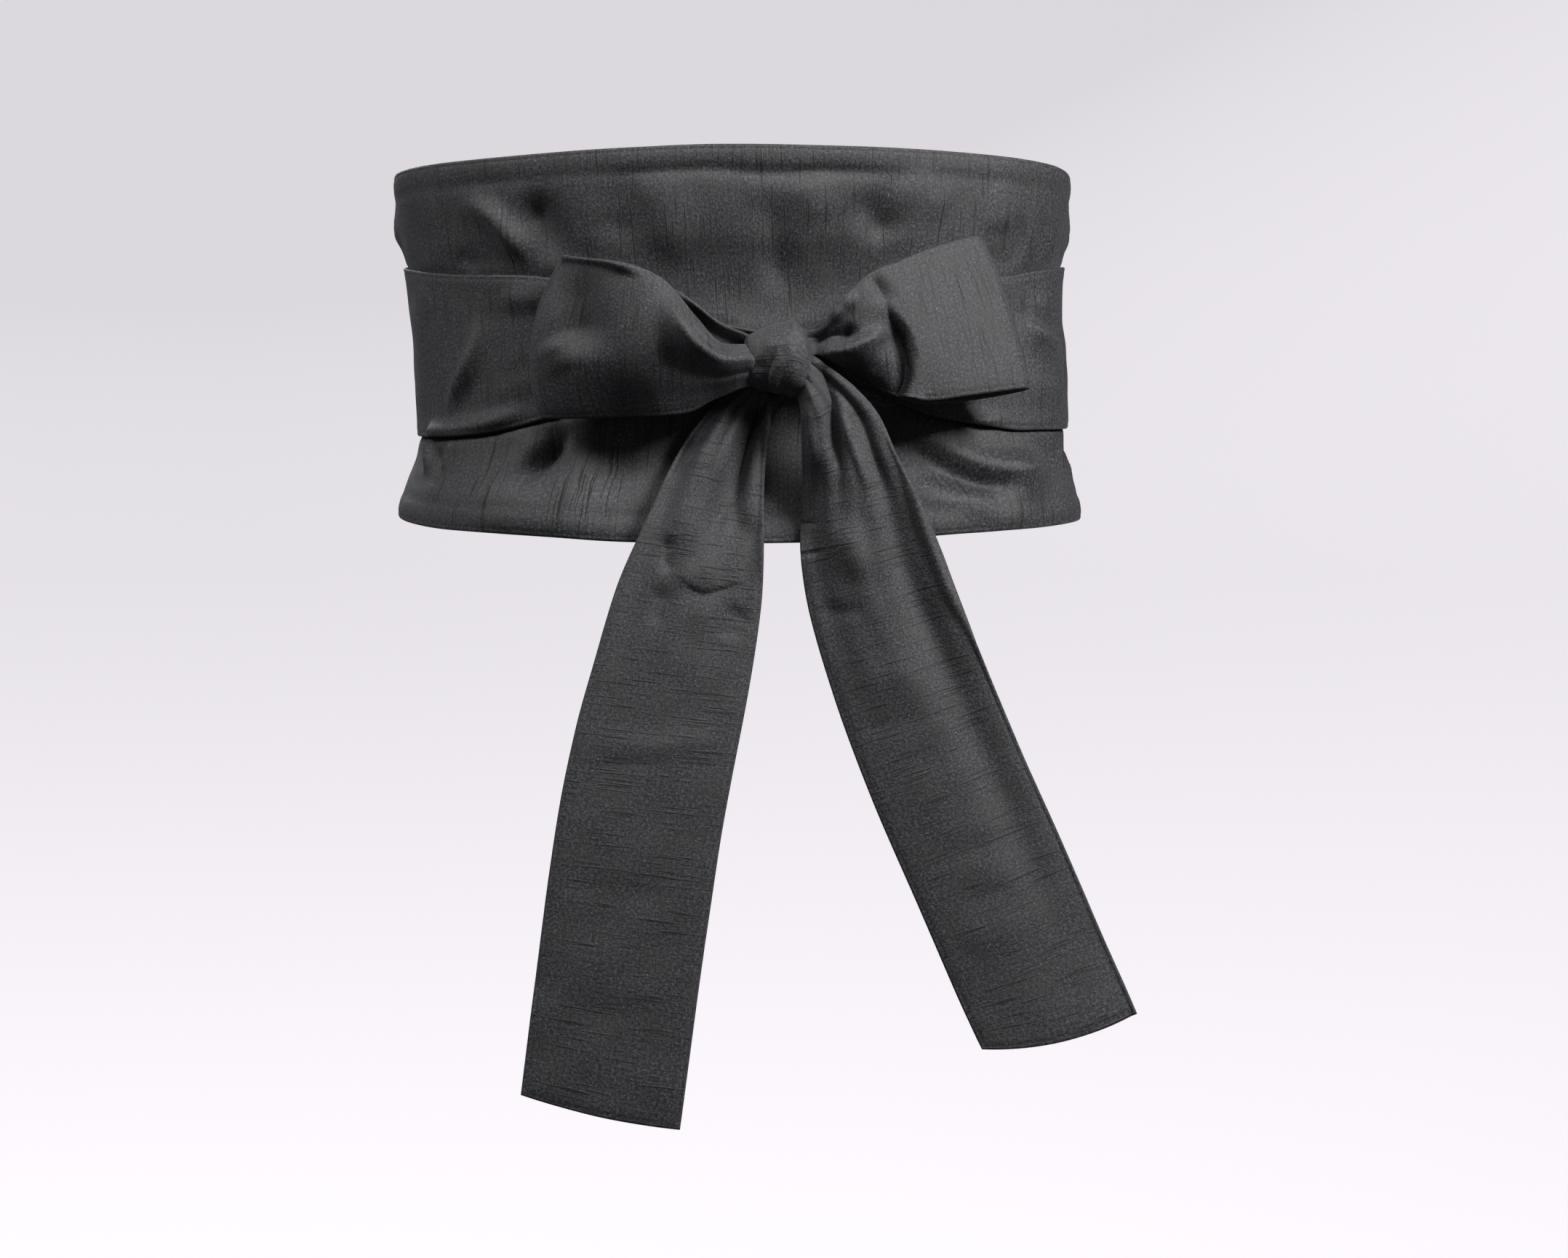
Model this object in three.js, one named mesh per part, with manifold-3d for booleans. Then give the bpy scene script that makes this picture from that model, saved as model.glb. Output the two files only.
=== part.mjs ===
// A worn wrap-around obi belt: one wide shaped waist panel, two long ties sewn to its back ends that
// cross at the back, come round over the panel and are tied in a bow at the front.
// Millimetres. +Z is up, the wearer faces -Y, and the origin is in the middle of the waist hollow.
import * as THREE from "three";
import Module from "manifold-3d";
import { mergeVertices } from "three/addons/utils/BufferGeometryUtils.js";

const wasm = await Module();
wasm.setup();

// ---------------------------------------------------------------- driving dimensions
const PANEL_WALL = 2.2; // two layers of cloth with an interfacing between them
const TIE_WALL = 1.8; // two layers, sewn along both long edges and turned
const GAP = 0.3; // between two pieces that meet at a seam or at the knot
const REST = 0.6; // under a tie where it lies on another piece
const PANEL_END = 152; // degrees from the centre front to the panel's sewn ends
const STEP = 4; // degrees between the columns of points round the waist
const SEAM = 0.35; // degrees left open where a tie is sewn to the panel
const KNOT = { x: 18.2, y: -107.4, z: -10.1, wide: 13.1, deep: 13.4, tall: 14 };
const CLOTH_COLOUR = 0x2b2b2d;
const ON_PANEL = PANEL_WALL + REST; // how far out a tie lies where it rests on the panel
const ON_TIE = TIE_WALL + REST; // how far out the upper tie lies where it crosses a flat lower one
const ROUNDNESS = 2.25; // exponent of the waist's section: 2 is an ellipse

// The general figure that the cloth is shaped on: the inner face of the panel.
const FIGURE = [
  { z: -80, half: 132.0, front: 100.6, back: 98.0, lean: 1.0 },
  { z: -62, half: 130.7, front: 97.4, back: 95.2, lean: 1.6 },
  { z: -51, half: 127.4, front: 94.0, back: 92.4, lean: 2.0 },
  { z: -40, half: 123.6, front: 91.6, back: 89.6, lean: 2.4 },
  { z: -30, half: 122.9, front: 90.6, back: 88.2, lean: 2.9 },
  { z: 0, half: 122.8, front: 90.2, back: 86.6, lean: 1.2 },
  { z: 26, half: 123.8, front: 91.2, back: 87.4, lean: -0.3 },
  { z: 38, half: 126.9, front: 93.0, back: 89.4, lean: -0.6 },
  { z: 54, half: 129.5, front: 94.6, back: 91.4, lean: -1.1 },
  { z: 74, half: 130.7, front: 95.4, back: 92.6, lean: -1.4 },
];

// The panel's long edges, by degrees from the centre front. It is deepest in front, and its ends
// narrow to the gathered ties.
const PANEL_EDGES = [
  { phi: -152, top: 1, bottom: -42 },
  { phi: -143, top: 17, bottom: -47 },
  { phi: -130, top: 42, bottom: -54 },
  { phi: -112, top: 61, bottom: -60 },
  { phi: -90, top: 67.2, bottom: -64 },
  { phi: -57, top: 67.0, bottom: -72.2 },
  { phi: -24, top: 68.8, bottom: -77 },
  { phi: 0, top: 70, bottom: -77.6 },
  { phi: 26, top: 69.6, bottom: -76.6 },
  { phi: 57, top: 68.8, bottom: -71.8 },
  { phi: 90, top: 67.4, bottom: -65 },
  { phi: 112, top: 61, bottom: -60 },
  { phi: 130, top: 42, bottom: -54 },
  { phi: 143, top: 17, bottom: -47 },
  { phi: 152, top: 1, bottom: -42 },
];

// The stretch of each tie that is wound round the waist, from its sewn end to the knot. phi is the
// degrees from the centre front, counted on past the back; out is how far its inner face lies from
// the figure; gather is how deep its lengthwise pleats are.
const WOUND_LEFT = [
  { phi: 152, z: -20.5, half: 21.5, out: 0.0, gather: 0.6 },
  { phi: 166, z: -12, half: 20.5, out: 0.0, gather: 1.4 },
  { phi: 180, z: 1, half: 19.5, out: 0.0, gather: 1.6 },
  { phi: 194, z: 15, half: 19, out: 0.2, gather: 1.6 },
  { phi: 203, z: 22.5, half: 19.5, out: 1.8, gather: 1.4 },
  { phi: 208, z: 24.5, half: 20.5, out: ON_PANEL, gather: 1.1 },
  { phi: 224, z: 20, half: 26, out: ON_PANEL, gather: 0.4 },
  { phi: 245, z: 8, half: 31, out: ON_PANEL, gather: 0.0 },
  { phi: 270, z: 0.2, half: 32.6, out: ON_PANEL, gather: 0.0 },
  { phi: 303, z: -5.8, half: 30.2, out: ON_PANEL, gather: 0.4 },
  { phi: 322, z: -4.0, half: 25.4, out: ON_PANEL, gather: 1.4 },
  { phi: 340, z: -6.4, half: 18.4, out: 3.4, gather: 2.6 },
  { phi: 356, z: -8.4, half: 12.4, out: 5.4, gather: 3.0 },
  { phi: 368, z: -9.4, half: 9.4, out: 7.0, gather: 2.8 },
];
const WOUND_RIGHT = [
  { phi: 152, z: -20.5, half: 21.5, out: 0.0, gather: 0.6 },
  { phi: 156, z: -20, half: 20, out: 0.7, gather: 1.0 },
  { phi: 160, z: -18.6, half: 19, out: 2.9, gather: 1.2 },
  { phi: 164, z: -15.4, half: 19, out: ON_TIE + 2.0, gather: 1.4 },
  { phi: 180, z: 0, half: 19.5, out: ON_TIE + 2.0, gather: 1.6 },
  { phi: 198, z: 14.5, half: 20.5, out: ON_TIE + 2.0, gather: 1.4 },
  { phi: 208, z: 17, half: 22.5, out: ON_PANEL + 0.6, gather: 1.0 },
  { phi: 226, z: 14, half: 27, out: ON_PANEL, gather: 0.4 },
  { phi: 245, z: 7, half: 30.5, out: ON_PANEL, gather: 0.0 },
  { phi: 270, z: 1.6, half: 31.4, out: ON_PANEL, gather: 0.0 },
  { phi: 292, z: -2.8, half: 30.2, out: ON_PANEL, gather: 0.2 },
  { phi: 303, z: -5.0, half: 28.6, out: ON_PANEL, gather: 0.6 },
  { phi: 318, z: -4.9, half: 25.4, out: ON_PANEL, gather: 1.6 },
  { phi: 331, z: -6.0, half: 15.5, out: 4.0, gather: 2.6 },
  { phi: 341, z: -8.4, half: 11.0, out: 5.8, gather: 2.8 },
  { phi: 352, z: -9.4, half: 9.4, out: 7.0, gather: 2.8 },
];

// Free ribbons: the bow's two loops and two tails. x, y and z place the middle of the tie; half is
// half its width there; lean is the direction across it, in degrees from +X towards +Z; turn swings
// that direction back; bow lifts the middle off its edges; swell pulls both edges in towards the
// knot; gather is the depth of its lengthwise pleats; drop is how far its middle hangs below its edges.
const LOOP_LEFT = [
  { x: 14, y: -110, z: -12.0, half: 7.0, lean: 90, turn: 0, bow: 1.0, swell: 0, gather: 0.6, drop: 0 },
  { x: 5, y: -112, z: -13.0, half: 7.8, lean: 90, turn: 0, bow: 1.5, swell: 0, gather: 0.8, drop: 0 },
  { x: -4, y: -113.5, z: -14.4, half: 10.0, lean: 90, turn: 0, bow: 2.0, swell: 0, gather: 0.7, drop: 0 },
  { x: -14, y: -115, z: -12.0, half: 17.2, lean: 90, turn: 0, bow: 2.5, swell: 0.5, gather: 0.4, drop: 0 },
  { x: -27, y: -115, z: -6.0, half: 25.2, lean: 90, turn: -2, bow: 3.0, swell: 1, gather: 0.1, drop: 0 },
  { x: -43, y: -111, z: -3.6, half: 28.4, lean: 88, turn: -7, bow: 3.5, swell: 2.5, gather: 0, drop: 0 },
  { x: -60, y: -103.5, z: -2.4, half: 29.4, lean: 84, turn: -9, bow: 3.0, swell: 4.5, gather: 0, drop: 0 },
  { x: -71.1, y: -96.5, z: -1.8, half: 29.8, lean: 82.4, turn: -6, bow: 1.2, swell: 6.4, gather: 0, drop: 0 },
  { x: -73.3, y: -93.6, z: -1.6, half: 29.8, lean: 82.2, turn: -4, bow: 0.2, swell: 6.7, gather: 0, drop: 0 },
  { x: -70.6, y: -91.4, z: -1.6, half: 29.8, lean: 82.4, turn: -3.5, bow: 0, swell: 6.4, gather: 0, drop: 0 },
  { x: -55, y: -94.3, z: -2.4, half: 29.0, lean: 85, turn: -2, bow: 0, swell: 3.5, gather: 0, drop: 0 },
  { x: -36, y: -100.0, z: -4.4, half: 26.2, lean: 89, turn: 0, bow: 0, swell: 1, gather: 0.2, drop: 0 },
  { x: -18, y: -103.4, z: -6.6, half: 20.6, lean: 90, turn: 0, bow: 0, swell: 0, gather: 0.5, drop: 0 },
  { x: -3, y: -104.8, z: -10.0, half: 12.6, lean: 90, turn: 0, bow: 0, swell: 0, gather: 0.7, drop: 0 },
  { x: 14, y: -105.4, z: -10.8, half: 7.0, lean: 90, turn: 0, bow: 0, swell: 0, gather: 0.6, drop: 0 },
];
const LOOP_RIGHT = [
  { x: 22, y: -107.4, z: -5.6, half: 5.0, lean: 90, turn: 0, bow: 0.8, swell: 0, gather: 0.5, drop: 0 },
  { x: 31, y: -109.4, z: -4.2, half: 5.0, lean: 92, turn: 0, bow: 1.2, swell: 0, gather: 0.7, drop: 0 },
  { x: 39, y: -111.4, z: -2.6, half: 10.6, lean: 95, turn: 0, bow: 1.6, swell: 0, gather: 0.6, drop: 0 },
  { x: 50, y: -112.6, z: -0.8, half: 19.6, lean: 98, turn: 2, bow: 2.0, swell: 0, gather: 0.3, drop: 0 },
  { x: 62.5, y: -110.8, z: -0.6, half: 25.4, lean: 102, turn: 4, bow: 2.0, swell: 0, gather: 0, drop: 0 },
  { x: 79, y: -105.0, z: 3.4, half: 28.2, lean: 104.4, turn: 6, bow: 1.5, swell: -0.3, gather: 0, drop: 0 },
  { x: 93, y: -97.2, z: 6.8, half: 29.4, lean: 105.8, turn: 6, bow: 1.2, swell: -0.8, gather: 0, drop: 0 },
  { x: 100.6, y: -91.6, z: 8.3, half: 29.8, lean: 106.8, turn: 5, bow: 0.6, swell: -1.3, gather: 0, drop: 0 },
  { x: 102.4, y: -88.2, z: 8.3, half: 29.8, lean: 107, turn: 4, bow: 0.2, swell: -1.5, gather: 0, drop: 0 },
  { x: 99.6, y: -85.6, z: 7.6, half: 29.8, lean: 106.8, turn: 3, bow: 0, swell: -1.3, gather: 0, drop: 0 },
  { x: 82, y: -90.4, z: 3.0, half: 28.2, lean: 104, turn: 0, bow: 0, swell: -0.5, gather: 0, drop: 0 },
  { x: 64, y: -97.0, z: -1.4, half: 24.4, lean: 100, turn: 0, bow: 0, swell: 0, gather: 0.2, drop: 0 },
  { x: 49, y: -101.2, z: -3.0, half: 17.4, lean: 96, turn: 0, bow: 0, swell: 0, gather: 0.5, drop: 0 },
  { x: 38, y: -103.0, z: -4.6, half: 10.6, lean: 93, turn: 0, bow: 0, swell: 0, gather: 0.6, drop: 0 },
  { x: 22, y: -103.6, z: -6.0, half: 5.6, lean: 90, turn: 0, bow: 0, swell: 0, gather: 0.5, drop: 0 },
];
const TAIL_LEFT = [
  { x: 13, y: -101.6, z: -17, half: 8.0, lean: -18, turn: 0, bow: 0.5, swell: 0, gather: 1.2, drop: 0 },
  { x: 5.6, y: -101.4, z: -27, half: 10.8, lean: -12, turn: 0, bow: 1.5, swell: 0, gather: 1.8, drop: 0 },
  { x: -2.4, y: -102.0, z: -42, half: 15.0, lean: -8, turn: 0, bow: 2.5, swell: 0, gather: 2.2, drop: 0 },
  { x: -6.8, y: -103.4, z: -58, half: 18.6, lean: -9, turn: 0, bow: 3.0, swell: 0, gather: 2.0, drop: 0 },
  { x: -11.0, y: -105.8, z: -76.5, half: 22.8, lean: -8, turn: 0, bow: 3.0, swell: 0, gather: 1.4, drop: 0 },
  { x: -16.0, y: -107.0, z: -98, half: 26.8, lean: -8, turn: 0, bow: 2.4, swell: 0, gather: 0.8, drop: 0 },
  { x: -21.8, y: -107.6, z: -124, half: 28.8, lean: -7, turn: 0, bow: 1.8, swell: 0, gather: 0.3, drop: 0 },
  { x: -27.6, y: -107.6, z: -149, half: 29.9, lean: -7, turn: 0, bow: 1.4, swell: 0, gather: 0, drop: 0 },
  { x: -33.2, y: -106.8, z: -177, half: 30.2, lean: -7, turn: 0, bow: 1.2, swell: 0, gather: 0, drop: 0 },
  { x: -37.4, y: -105.2, z: -204, half: 30.2, lean: -7.4, turn: 0, bow: 1.2, swell: 0, gather: 0, drop: 0 },
  { x: -42.4, y: -102.6, z: -240, half: 30.0, lean: -7.6, turn: 0, bow: 1.2, swell: 0, gather: 0, drop: 0 },
  { x: -48.6, y: -99.0, z: -287, half: 30.0, lean: -12.4, turn: 0, bow: 1.0, swell: 0, gather: 0, drop: 1.6 },
];
const TAIL_RIGHT = [
  { x: 25, y: -111.6, z: -12, half: 5.0, lean: 36, turn: 0, bow: 0.5, swell: 0, gather: 0.6, drop: 0 },
  { x: 34.8, y: -112.2, z: -25, half: 10.8, lean: 24, turn: 0, bow: 1.5, swell: 0, gather: 1.4, drop: 0 },
  { x: 39.2, y: -111.0, z: -34, half: 14.4, lean: 16, turn: 0, bow: 2.5, swell: 0, gather: 1.8, drop: 0 },
  { x: 43.0, y: -109.4, z: -49, half: 17.8, lean: 12, turn: -4, bow: 3.2, swell: 0, gather: 2.0, drop: 0 },
  { x: 47.2, y: -108.0, z: -69, half: 23.2, lean: 12, turn: -6, bow: 3.4, swell: 0, gather: 1.4, drop: 0 },
  { x: 53.2, y: -107.2, z: -93, half: 26.6, lean: 15, turn: -5, bow: 3.2, swell: 0, gather: 0.8, drop: 0 },
  { x: 63.8, y: -106.2, z: -125, half: 28.0, lean: 17, turn: -2, bow: 3.0, swell: 0, gather: 0.3, drop: 0 },
  { x: 78.8, y: -103.6, z: -163, half: 28.8, lean: 19.5, turn: 2, bow: 2.8, swell: 0, gather: 0, drop: 0 },
  { x: 94.6, y: -100.2, z: -198.6, half: 29.1, lean: 21.5, turn: 4, bow: 2.8, swell: 0, gather: 0, drop: 0 },
  { x: 110.0, y: -96.0, z: -234, half: 29.3, lean: 20, turn: 6, bow: 2.8, swell: 0, gather: 0, drop: 0 },
  { x: 120.8, y: -93.0, z: -257.7, half: 29.8, lean: 12.2, turn: 8, bow: 3.0, swell: 0, gather: 0, drop: 3.6 },
];

// The largest folds. path runs through points on the cloth, half is how far the fold spreads to
// each side of it, and depth is how far it lifts the cloth (negative pushes it in).
// On the panel a point is [degrees from the centre front, height]; on a ribbon it is
// [share of the length from the knot or the sewn end, share of the half width].
const PANEL_FOLDS = [
  { path: [[-60, 56], [-52.5, 47], [-45.5, 36.5], [-41, 24]], half: 7, depth: 2.6 },
  { path: [[-45, 51], [-42.5, 44], [-38, 32]], half: 7, depth: -2.2 },
  { path: [[-71, 46], [-67, 28]], half: 5, depth: -1.6 },
  { path: [[3, 58], [6, 40], [7, 10]], half: 8, depth: -1.4 },
  { path: [[14, 60], [14, 38], [15, 12]], half: 7, depth: 1.6 },
  { path: [[26, 56], [28, 36], [32, 18]], half: 9, depth: -1.8 },
  { path: [[64, 50], [65, 28]], half: 5, depth: -2.0 },
  { path: [[70, 48], [70, 27]], half: 5, depth: 1.6 },
  { path: [[-63, -42], [-61, -57]], half: 5, depth: -2.0 },
  { path: [[-48, -40], [-56, -58]], half: 9, depth: 1.8 },
  { path: [[-33, -38], [-39, -48], [-46, -61]], half: 6, depth: -3.4 },
  { path: [[42, -37], [48, -47], [54, -51.5], [62, -50], [68, -43]], half: 6, depth: 2.6 },
  { path: [[50, -37], [61, -41]], half: 5, depth: -1.6 },
  { path: [[118, 50], [128, 14]], half: 6, depth: 2.0 },
  { path: [[-118, 48], [-130, 16]], half: 6, depth: -1.8 },
  { path: [[-104, -34], [-128, -50]], half: 6, depth: 1.8 },
  { path: [[110, -32], [134, -46]], half: 6, depth: 1.8 },
  { path: [[96, 56], [101, 38]], half: 6, depth: -1.6 },
  { path: [[-92, 55], [-88, 38]], half: 6, depth: 1.6 },
];
const LOOP_LEFT_FOLDS = [
  { path: [[0.05, 0.4], [0.107, 0.4], [0.163, 0.5], [0.23, 0.78]], half: 5.5, depth: 3.8 },
  { path: [[0.1, -0.35], [0.24, -0.3], [0.36, -0.1]], half: 9, depth: -4.0 },
  { path: [[0.36, -0.75], [0.46, 0.1]], half: 9, depth: 1.6 },
];
const LOOP_RIGHT_FOLDS = [
  { path: [[0.04, -0.2], [0.12, -0.3], [0.2, -0.12], [0.26, 0.22]], half: 5, depth: 3.4 },
  { path: [[0.17, -0.62], [0.25, -0.48], [0.27, -0.1]], half: 6, depth: -5.6 },
  { path: [[0.04, 0.45], [0.12, 0.4]], half: 4.2, depth: -3.6 },
  { path: [[0.33, -0.7], [0.32, 0], [0.3, 0.5]], half: 6, depth: 2.2 },
];
const TAIL_LEFT_FOLDS = [
  { path: [[0.05, 0.1], [0.15, 0.35], [0.21, 0.2]], half: 5, depth: -3.0 },
  { path: [[0.06, -0.3], [0.16, -0.15], [0.24, -0.3]], half: 7, depth: 2.2 },
  { path: [[0.225, -0.15], [0.235, 0.2], [0.225, 0.7]], half: 3.5, depth: -1.8 },
];
const TAIL_RIGHT_FOLDS = [
  { path: [[0.07, -0.5], [0.16, -0.4], [0.24, -0.55]], half: 6, depth: 2.8 },
  { path: [[0.07, 0.1], [0.15, 0.2], [0.24, 0.5]], half: 6, depth: -3.0 },
  { path: [[0.35, 0.55], [0.7, 0.5], [0.95, 0.3]], half: 12, depth: 1.8 },
];

const MM_PER_DEGREE = 1.86; // the waist's girth over a full turn

// How many faces each kind of piece has, along and across.
const MESH = {
  panel: { along: (2 * PANEL_END) / STEP, across: 9 },
  wound: { across: 5 },
  loop: { along: 33, across: 7 },
  tail: { along: 22, across: 6 },
  knot: { along: 20, across: 12 },
};

// ---------------------------------------------------------------- small helpers
const radians = (degrees) => (degrees * Math.PI) / 180;
const mix = (a, b, t) => a + (b - a) * t;
const clamp = (v, low, high) => Math.min(high, Math.max(low, v));
const smooth = (t) => t * t * (3 - 2 * t);

// Every column of a table at a place between its rows, on one smooth curve that doesn't overshoot.
function between(rows, place) {
  const i = clamp(Math.floor(place), 0, rows.length - 2);
  const t = clamp(place - i, 0, 1);
  const found = {};
  for (const column of Object.keys(rows[i])) {
    const value = (k) => rows[clamp(k, 0, rows.length - 1)][column];
    const slope = (k) => {
      const before = value(k) - value(k - 1);
      const after = value(k + 1) - value(k);
      if (before * after <= 0) return 0;
      return (2 * before * after) / (before + after);
    };
    const [a, b] = [value(i), value(i + 1)];
    const [ra, rb] = [slope(i), slope(i + 1)];
    const t2 = t * t;
    const t3 = t2 * t;
    found[column] =
      a * (2 * t3 - 3 * t2 + 1) + ra * (t3 - 2 * t2 + t) + b * (3 * t2 - 2 * t3) + rb * (t3 - t2);
  }
  return found;
}

// The place between the rows of a table where its key column has this value.
function placeOf(rows, key, value) {
  const last = rows.length - 1;
  if (value <= rows[0][key]) return 0;
  if (value >= rows[last][key]) return last;
  const i = rows.findIndex((row) => row[key] > value) - 1;
  let [low, high] = [i, i + 1];
  for (let k = 0; k < 30; k++) {
    const mid = (low + high) / 2;
    if (between(rows, mid)[key] < value) low = mid;
    else high = mid;
  }
  return (low + high) / 2;
}

// The figure's radius towards phi, in degrees from the centre front towards +X, at height z, and
// out mm from the panel's inner face.
function figureRadius(phi, z, out = 0) {
  const row = between(FIGURE, placeOf(FIGURE, "z", z));
  const [s, c] = [Math.sin(radians(phi)), Math.cos(radians(phi))];
  const deep = mix(row.front, row.back, smooth(clamp(0.5 - 0.9 * c, 0, 1))) + out;
  const share = (v, size) => Math.pow(Math.abs(v) / size, ROUNDNESS);
  return Math.pow(share(s, row.half + out) + share(c, deep), -1 / ROUNDNESS);
}

function figurePoint(phi, z, out) {
  const r = figureRadius(phi, z, out);
  const { lean } = between(FIGURE, placeOf(FIGURE, "z", z));
  return new THREE.Vector3(lean + r * Math.sin(radians(phi)), -r * Math.cos(radians(phi)), z);
}

// How far folds lift the cloth at a point (u, v), given in mm, when toMm turns a fold's own points
// into mm.
function foldLift(folds, u, v, toMm) {
  let lift = 0;
  for (const { path, half, depth } of folds) {
    let best = Infinity;
    const points = path.map(toMm);
    for (let i = 0; i + 1 < points.length; i++) {
      const [ax, ay] = points[i];
      const [dx, dy] = [points[i + 1][0] - ax, points[i + 1][1] - ay];
      const t = clamp(((u - ax) * dx + (v - ay) * dy) / (dx * dx + dy * dy), 0, 1);
      best = Math.min(best, Math.hypot(u - ax - t * dx, v - ay - t * dy));
    }
    lift += depth * Math.exp(-Math.pow(best / half, 2));
  }
  return lift;
}

// Lengthwise pleats across a gathered tie: across runs from -1 to 1.
function pleats(across) {
  return 0.62 * Math.cos(1.5 * Math.PI * (across + 0.12)) + 0.38 * Math.cos(3 * Math.PI * (across - 0.2));
}

// A closed wall of cloth. place(u, v) gives a point of its middle, and lift how far that point is
// moved along the cloth's normal; side turns the normal round.
function clothWall({ along, across }, wall, side, place, lift) {
  const step = 1e-3;
  const edge = (t) => clamp(t, step, 1 - step);
  const layers = [[], []];
  for (let i = 0; i <= along; i++) {
    for (let j = 0; j <= across; j++) {
      const [u, v] = [i / along, j / across];
      const [eu, ev] = [edge(u), edge(v)];
      const du = place(eu + step, ev).sub(place(eu - step, ev));
      const dv = place(eu, ev + step).sub(place(eu, ev - step));
      const normal = dv.cross(du).normalize().multiplyScalar(side);
      const middle = place(u, v);
      const out = lift(u, v);
      layers[0].push(middle.clone().addScaledVector(normal, out + wall / 2));
      layers[1].push(middle.clone().addScaledVector(normal, out - wall / 2));
    }
  }
  const count = layers[0].length;
  const at = (layer, i, j) => layer * count + i * (across + 1) + j;
  const faces = [];
  const quad = (a, b, c, d) => faces.push(a, b, c, a, c, d);
  for (let i = 0; i < along; i++) {
    for (let j = 0; j < across; j++) {
      quad(at(0, i, j), at(0, i, j + 1), at(0, i + 1, j + 1), at(0, i + 1, j));
      quad(at(1, i, j), at(1, i + 1, j), at(1, i + 1, j + 1), at(1, i, j + 1));
    }
    quad(at(0, i, 0), at(0, i + 1, 0), at(1, i + 1, 0), at(1, i, 0));
    quad(at(0, i, across), at(1, i, across), at(1, i + 1, across), at(0, i + 1, across));
  }
  for (let j = 0; j < across; j++) {
    quad(at(0, 0, j), at(1, 0, j), at(1, 0, j + 1), at(0, 0, j + 1));
    quad(at(0, along, j), at(0, along, j + 1), at(1, along, j + 1), at(1, along, j));
  }
  return closed([...layers[0], ...layers[1]], faces);
}

// A geometry from points and faces, turned so that its faces point out.
function closed(points, faces) {
  let volume = 0;
  for (let i = 0; i < faces.length; i += 3) {
    const [a, b, c] = [points[faces[i]], points[faces[i + 1]], points[faces[i + 2]]];
    volume += a.dot(b.clone().cross(c));
  }
  if (volume < 0) for (let i = 0; i < faces.length; i += 3) faces.splice(i, 2, faces[i + 1], faces[i]);
  return new THREE.BufferGeometry()
    .setAttribute("position", new THREE.Float32BufferAttribute(points.flatMap((p) => p.toArray()), 3))
    .setIndex(faces);
}

// ---------------------------------------------------------------- the pieces
// How far the panel's folds lift it. The ties that lie on it press it flat.
function panelLift(phi, z) {
  if (Math.abs(phi) > PANEL_END) return 0;
  const rows = phi < 0 ? WOUND_LEFT : WOUND_RIGHT;
  const tie = between(rows, placeOf(rows, "phi", 360 - Math.abs(phi)));
  const clear = Math.abs(z - tie.z) - tie.half; // how far outside the tie's edge this point lies
  const free = smooth(clamp((clear - 2) / 8, 0, 1));
  return free * foldLift(PANEL_FOLDS, phi * MM_PER_DEGREE, z, ([p, h]) => [p * MM_PER_DEGREE, h]);
}

const panelEdges = (phi) => between(PANEL_EDGES, placeOf(PANEL_EDGES, "phi", phi));

// How far the panel's faces, which are flat between one row of points and the next, stand out from
// the figure.
function panelFaceLift(phi, z) {
  const { top, bottom } = panelEdges(phi);
  if (Math.abs(phi) > PANEL_END || z <= bottom || z >= top) return 0;
  const row = ((z - bottom) / (top - bottom)) * MESH.panel.across;
  const below = Math.floor(row);
  const [low, high] = [below, below + 1].map((k) => {
    const height = mix(bottom, top, k / MESH.panel.across);
    return figureRadius(phi, height) + panelLift(phi, height);
  });
  return mix(low, high, row - below) - figureRadius(phi, z);
}

function panel() {
  const at = (u, v) => {
    const phi = mix(-PANEL_END, PANEL_END, u);
    return { phi, z: mix(panelEdges(phi).bottom, panelEdges(phi).top, v) };
  };
  const place = (u, v) => figurePoint(at(u, v).phi, at(u, v).z, PANEL_WALL / 2);
  const lift = (u, v) => panelLift(at(u, v).phi, at(u, v).z);
  return clothWall(MESH.panel, PANEL_WALL, -1, place, lift);
}

// A tie's stretch round the waist, with its columns of points over the panel's own. way is 1 where
// it leaves the panel's +X end and -1 where it leaves the other.
function woundTie(rows, way) {
  const last = rows[rows.length - 1].phi;
  const mesh = { along: Math.round((last - PANEL_END) / STEP), across: MESH.wound.across };
  const rowAt = (u) => between(rows, placeOf(rows, "phi", mix(PANEL_END + SEAM, last, u)));
  const place = (u, v) => {
    const row = rowAt(u);
    const z = row.z + mix(-1, 1, v) * row.half;
    const angle = way * (row.phi > 180 ? row.phi - 360 : row.phi);
    return figurePoint(angle, z, row.out + panelFaceLift(angle, z) + TIE_WALL / 2);
  };
  const lift = (u, v) => rowAt(u).gather * (0.5 + 0.5 * pleats(mix(-1, 1, v)));
  return clothWall(mesh, TIE_WALL, -way, place, lift);
}

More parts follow.
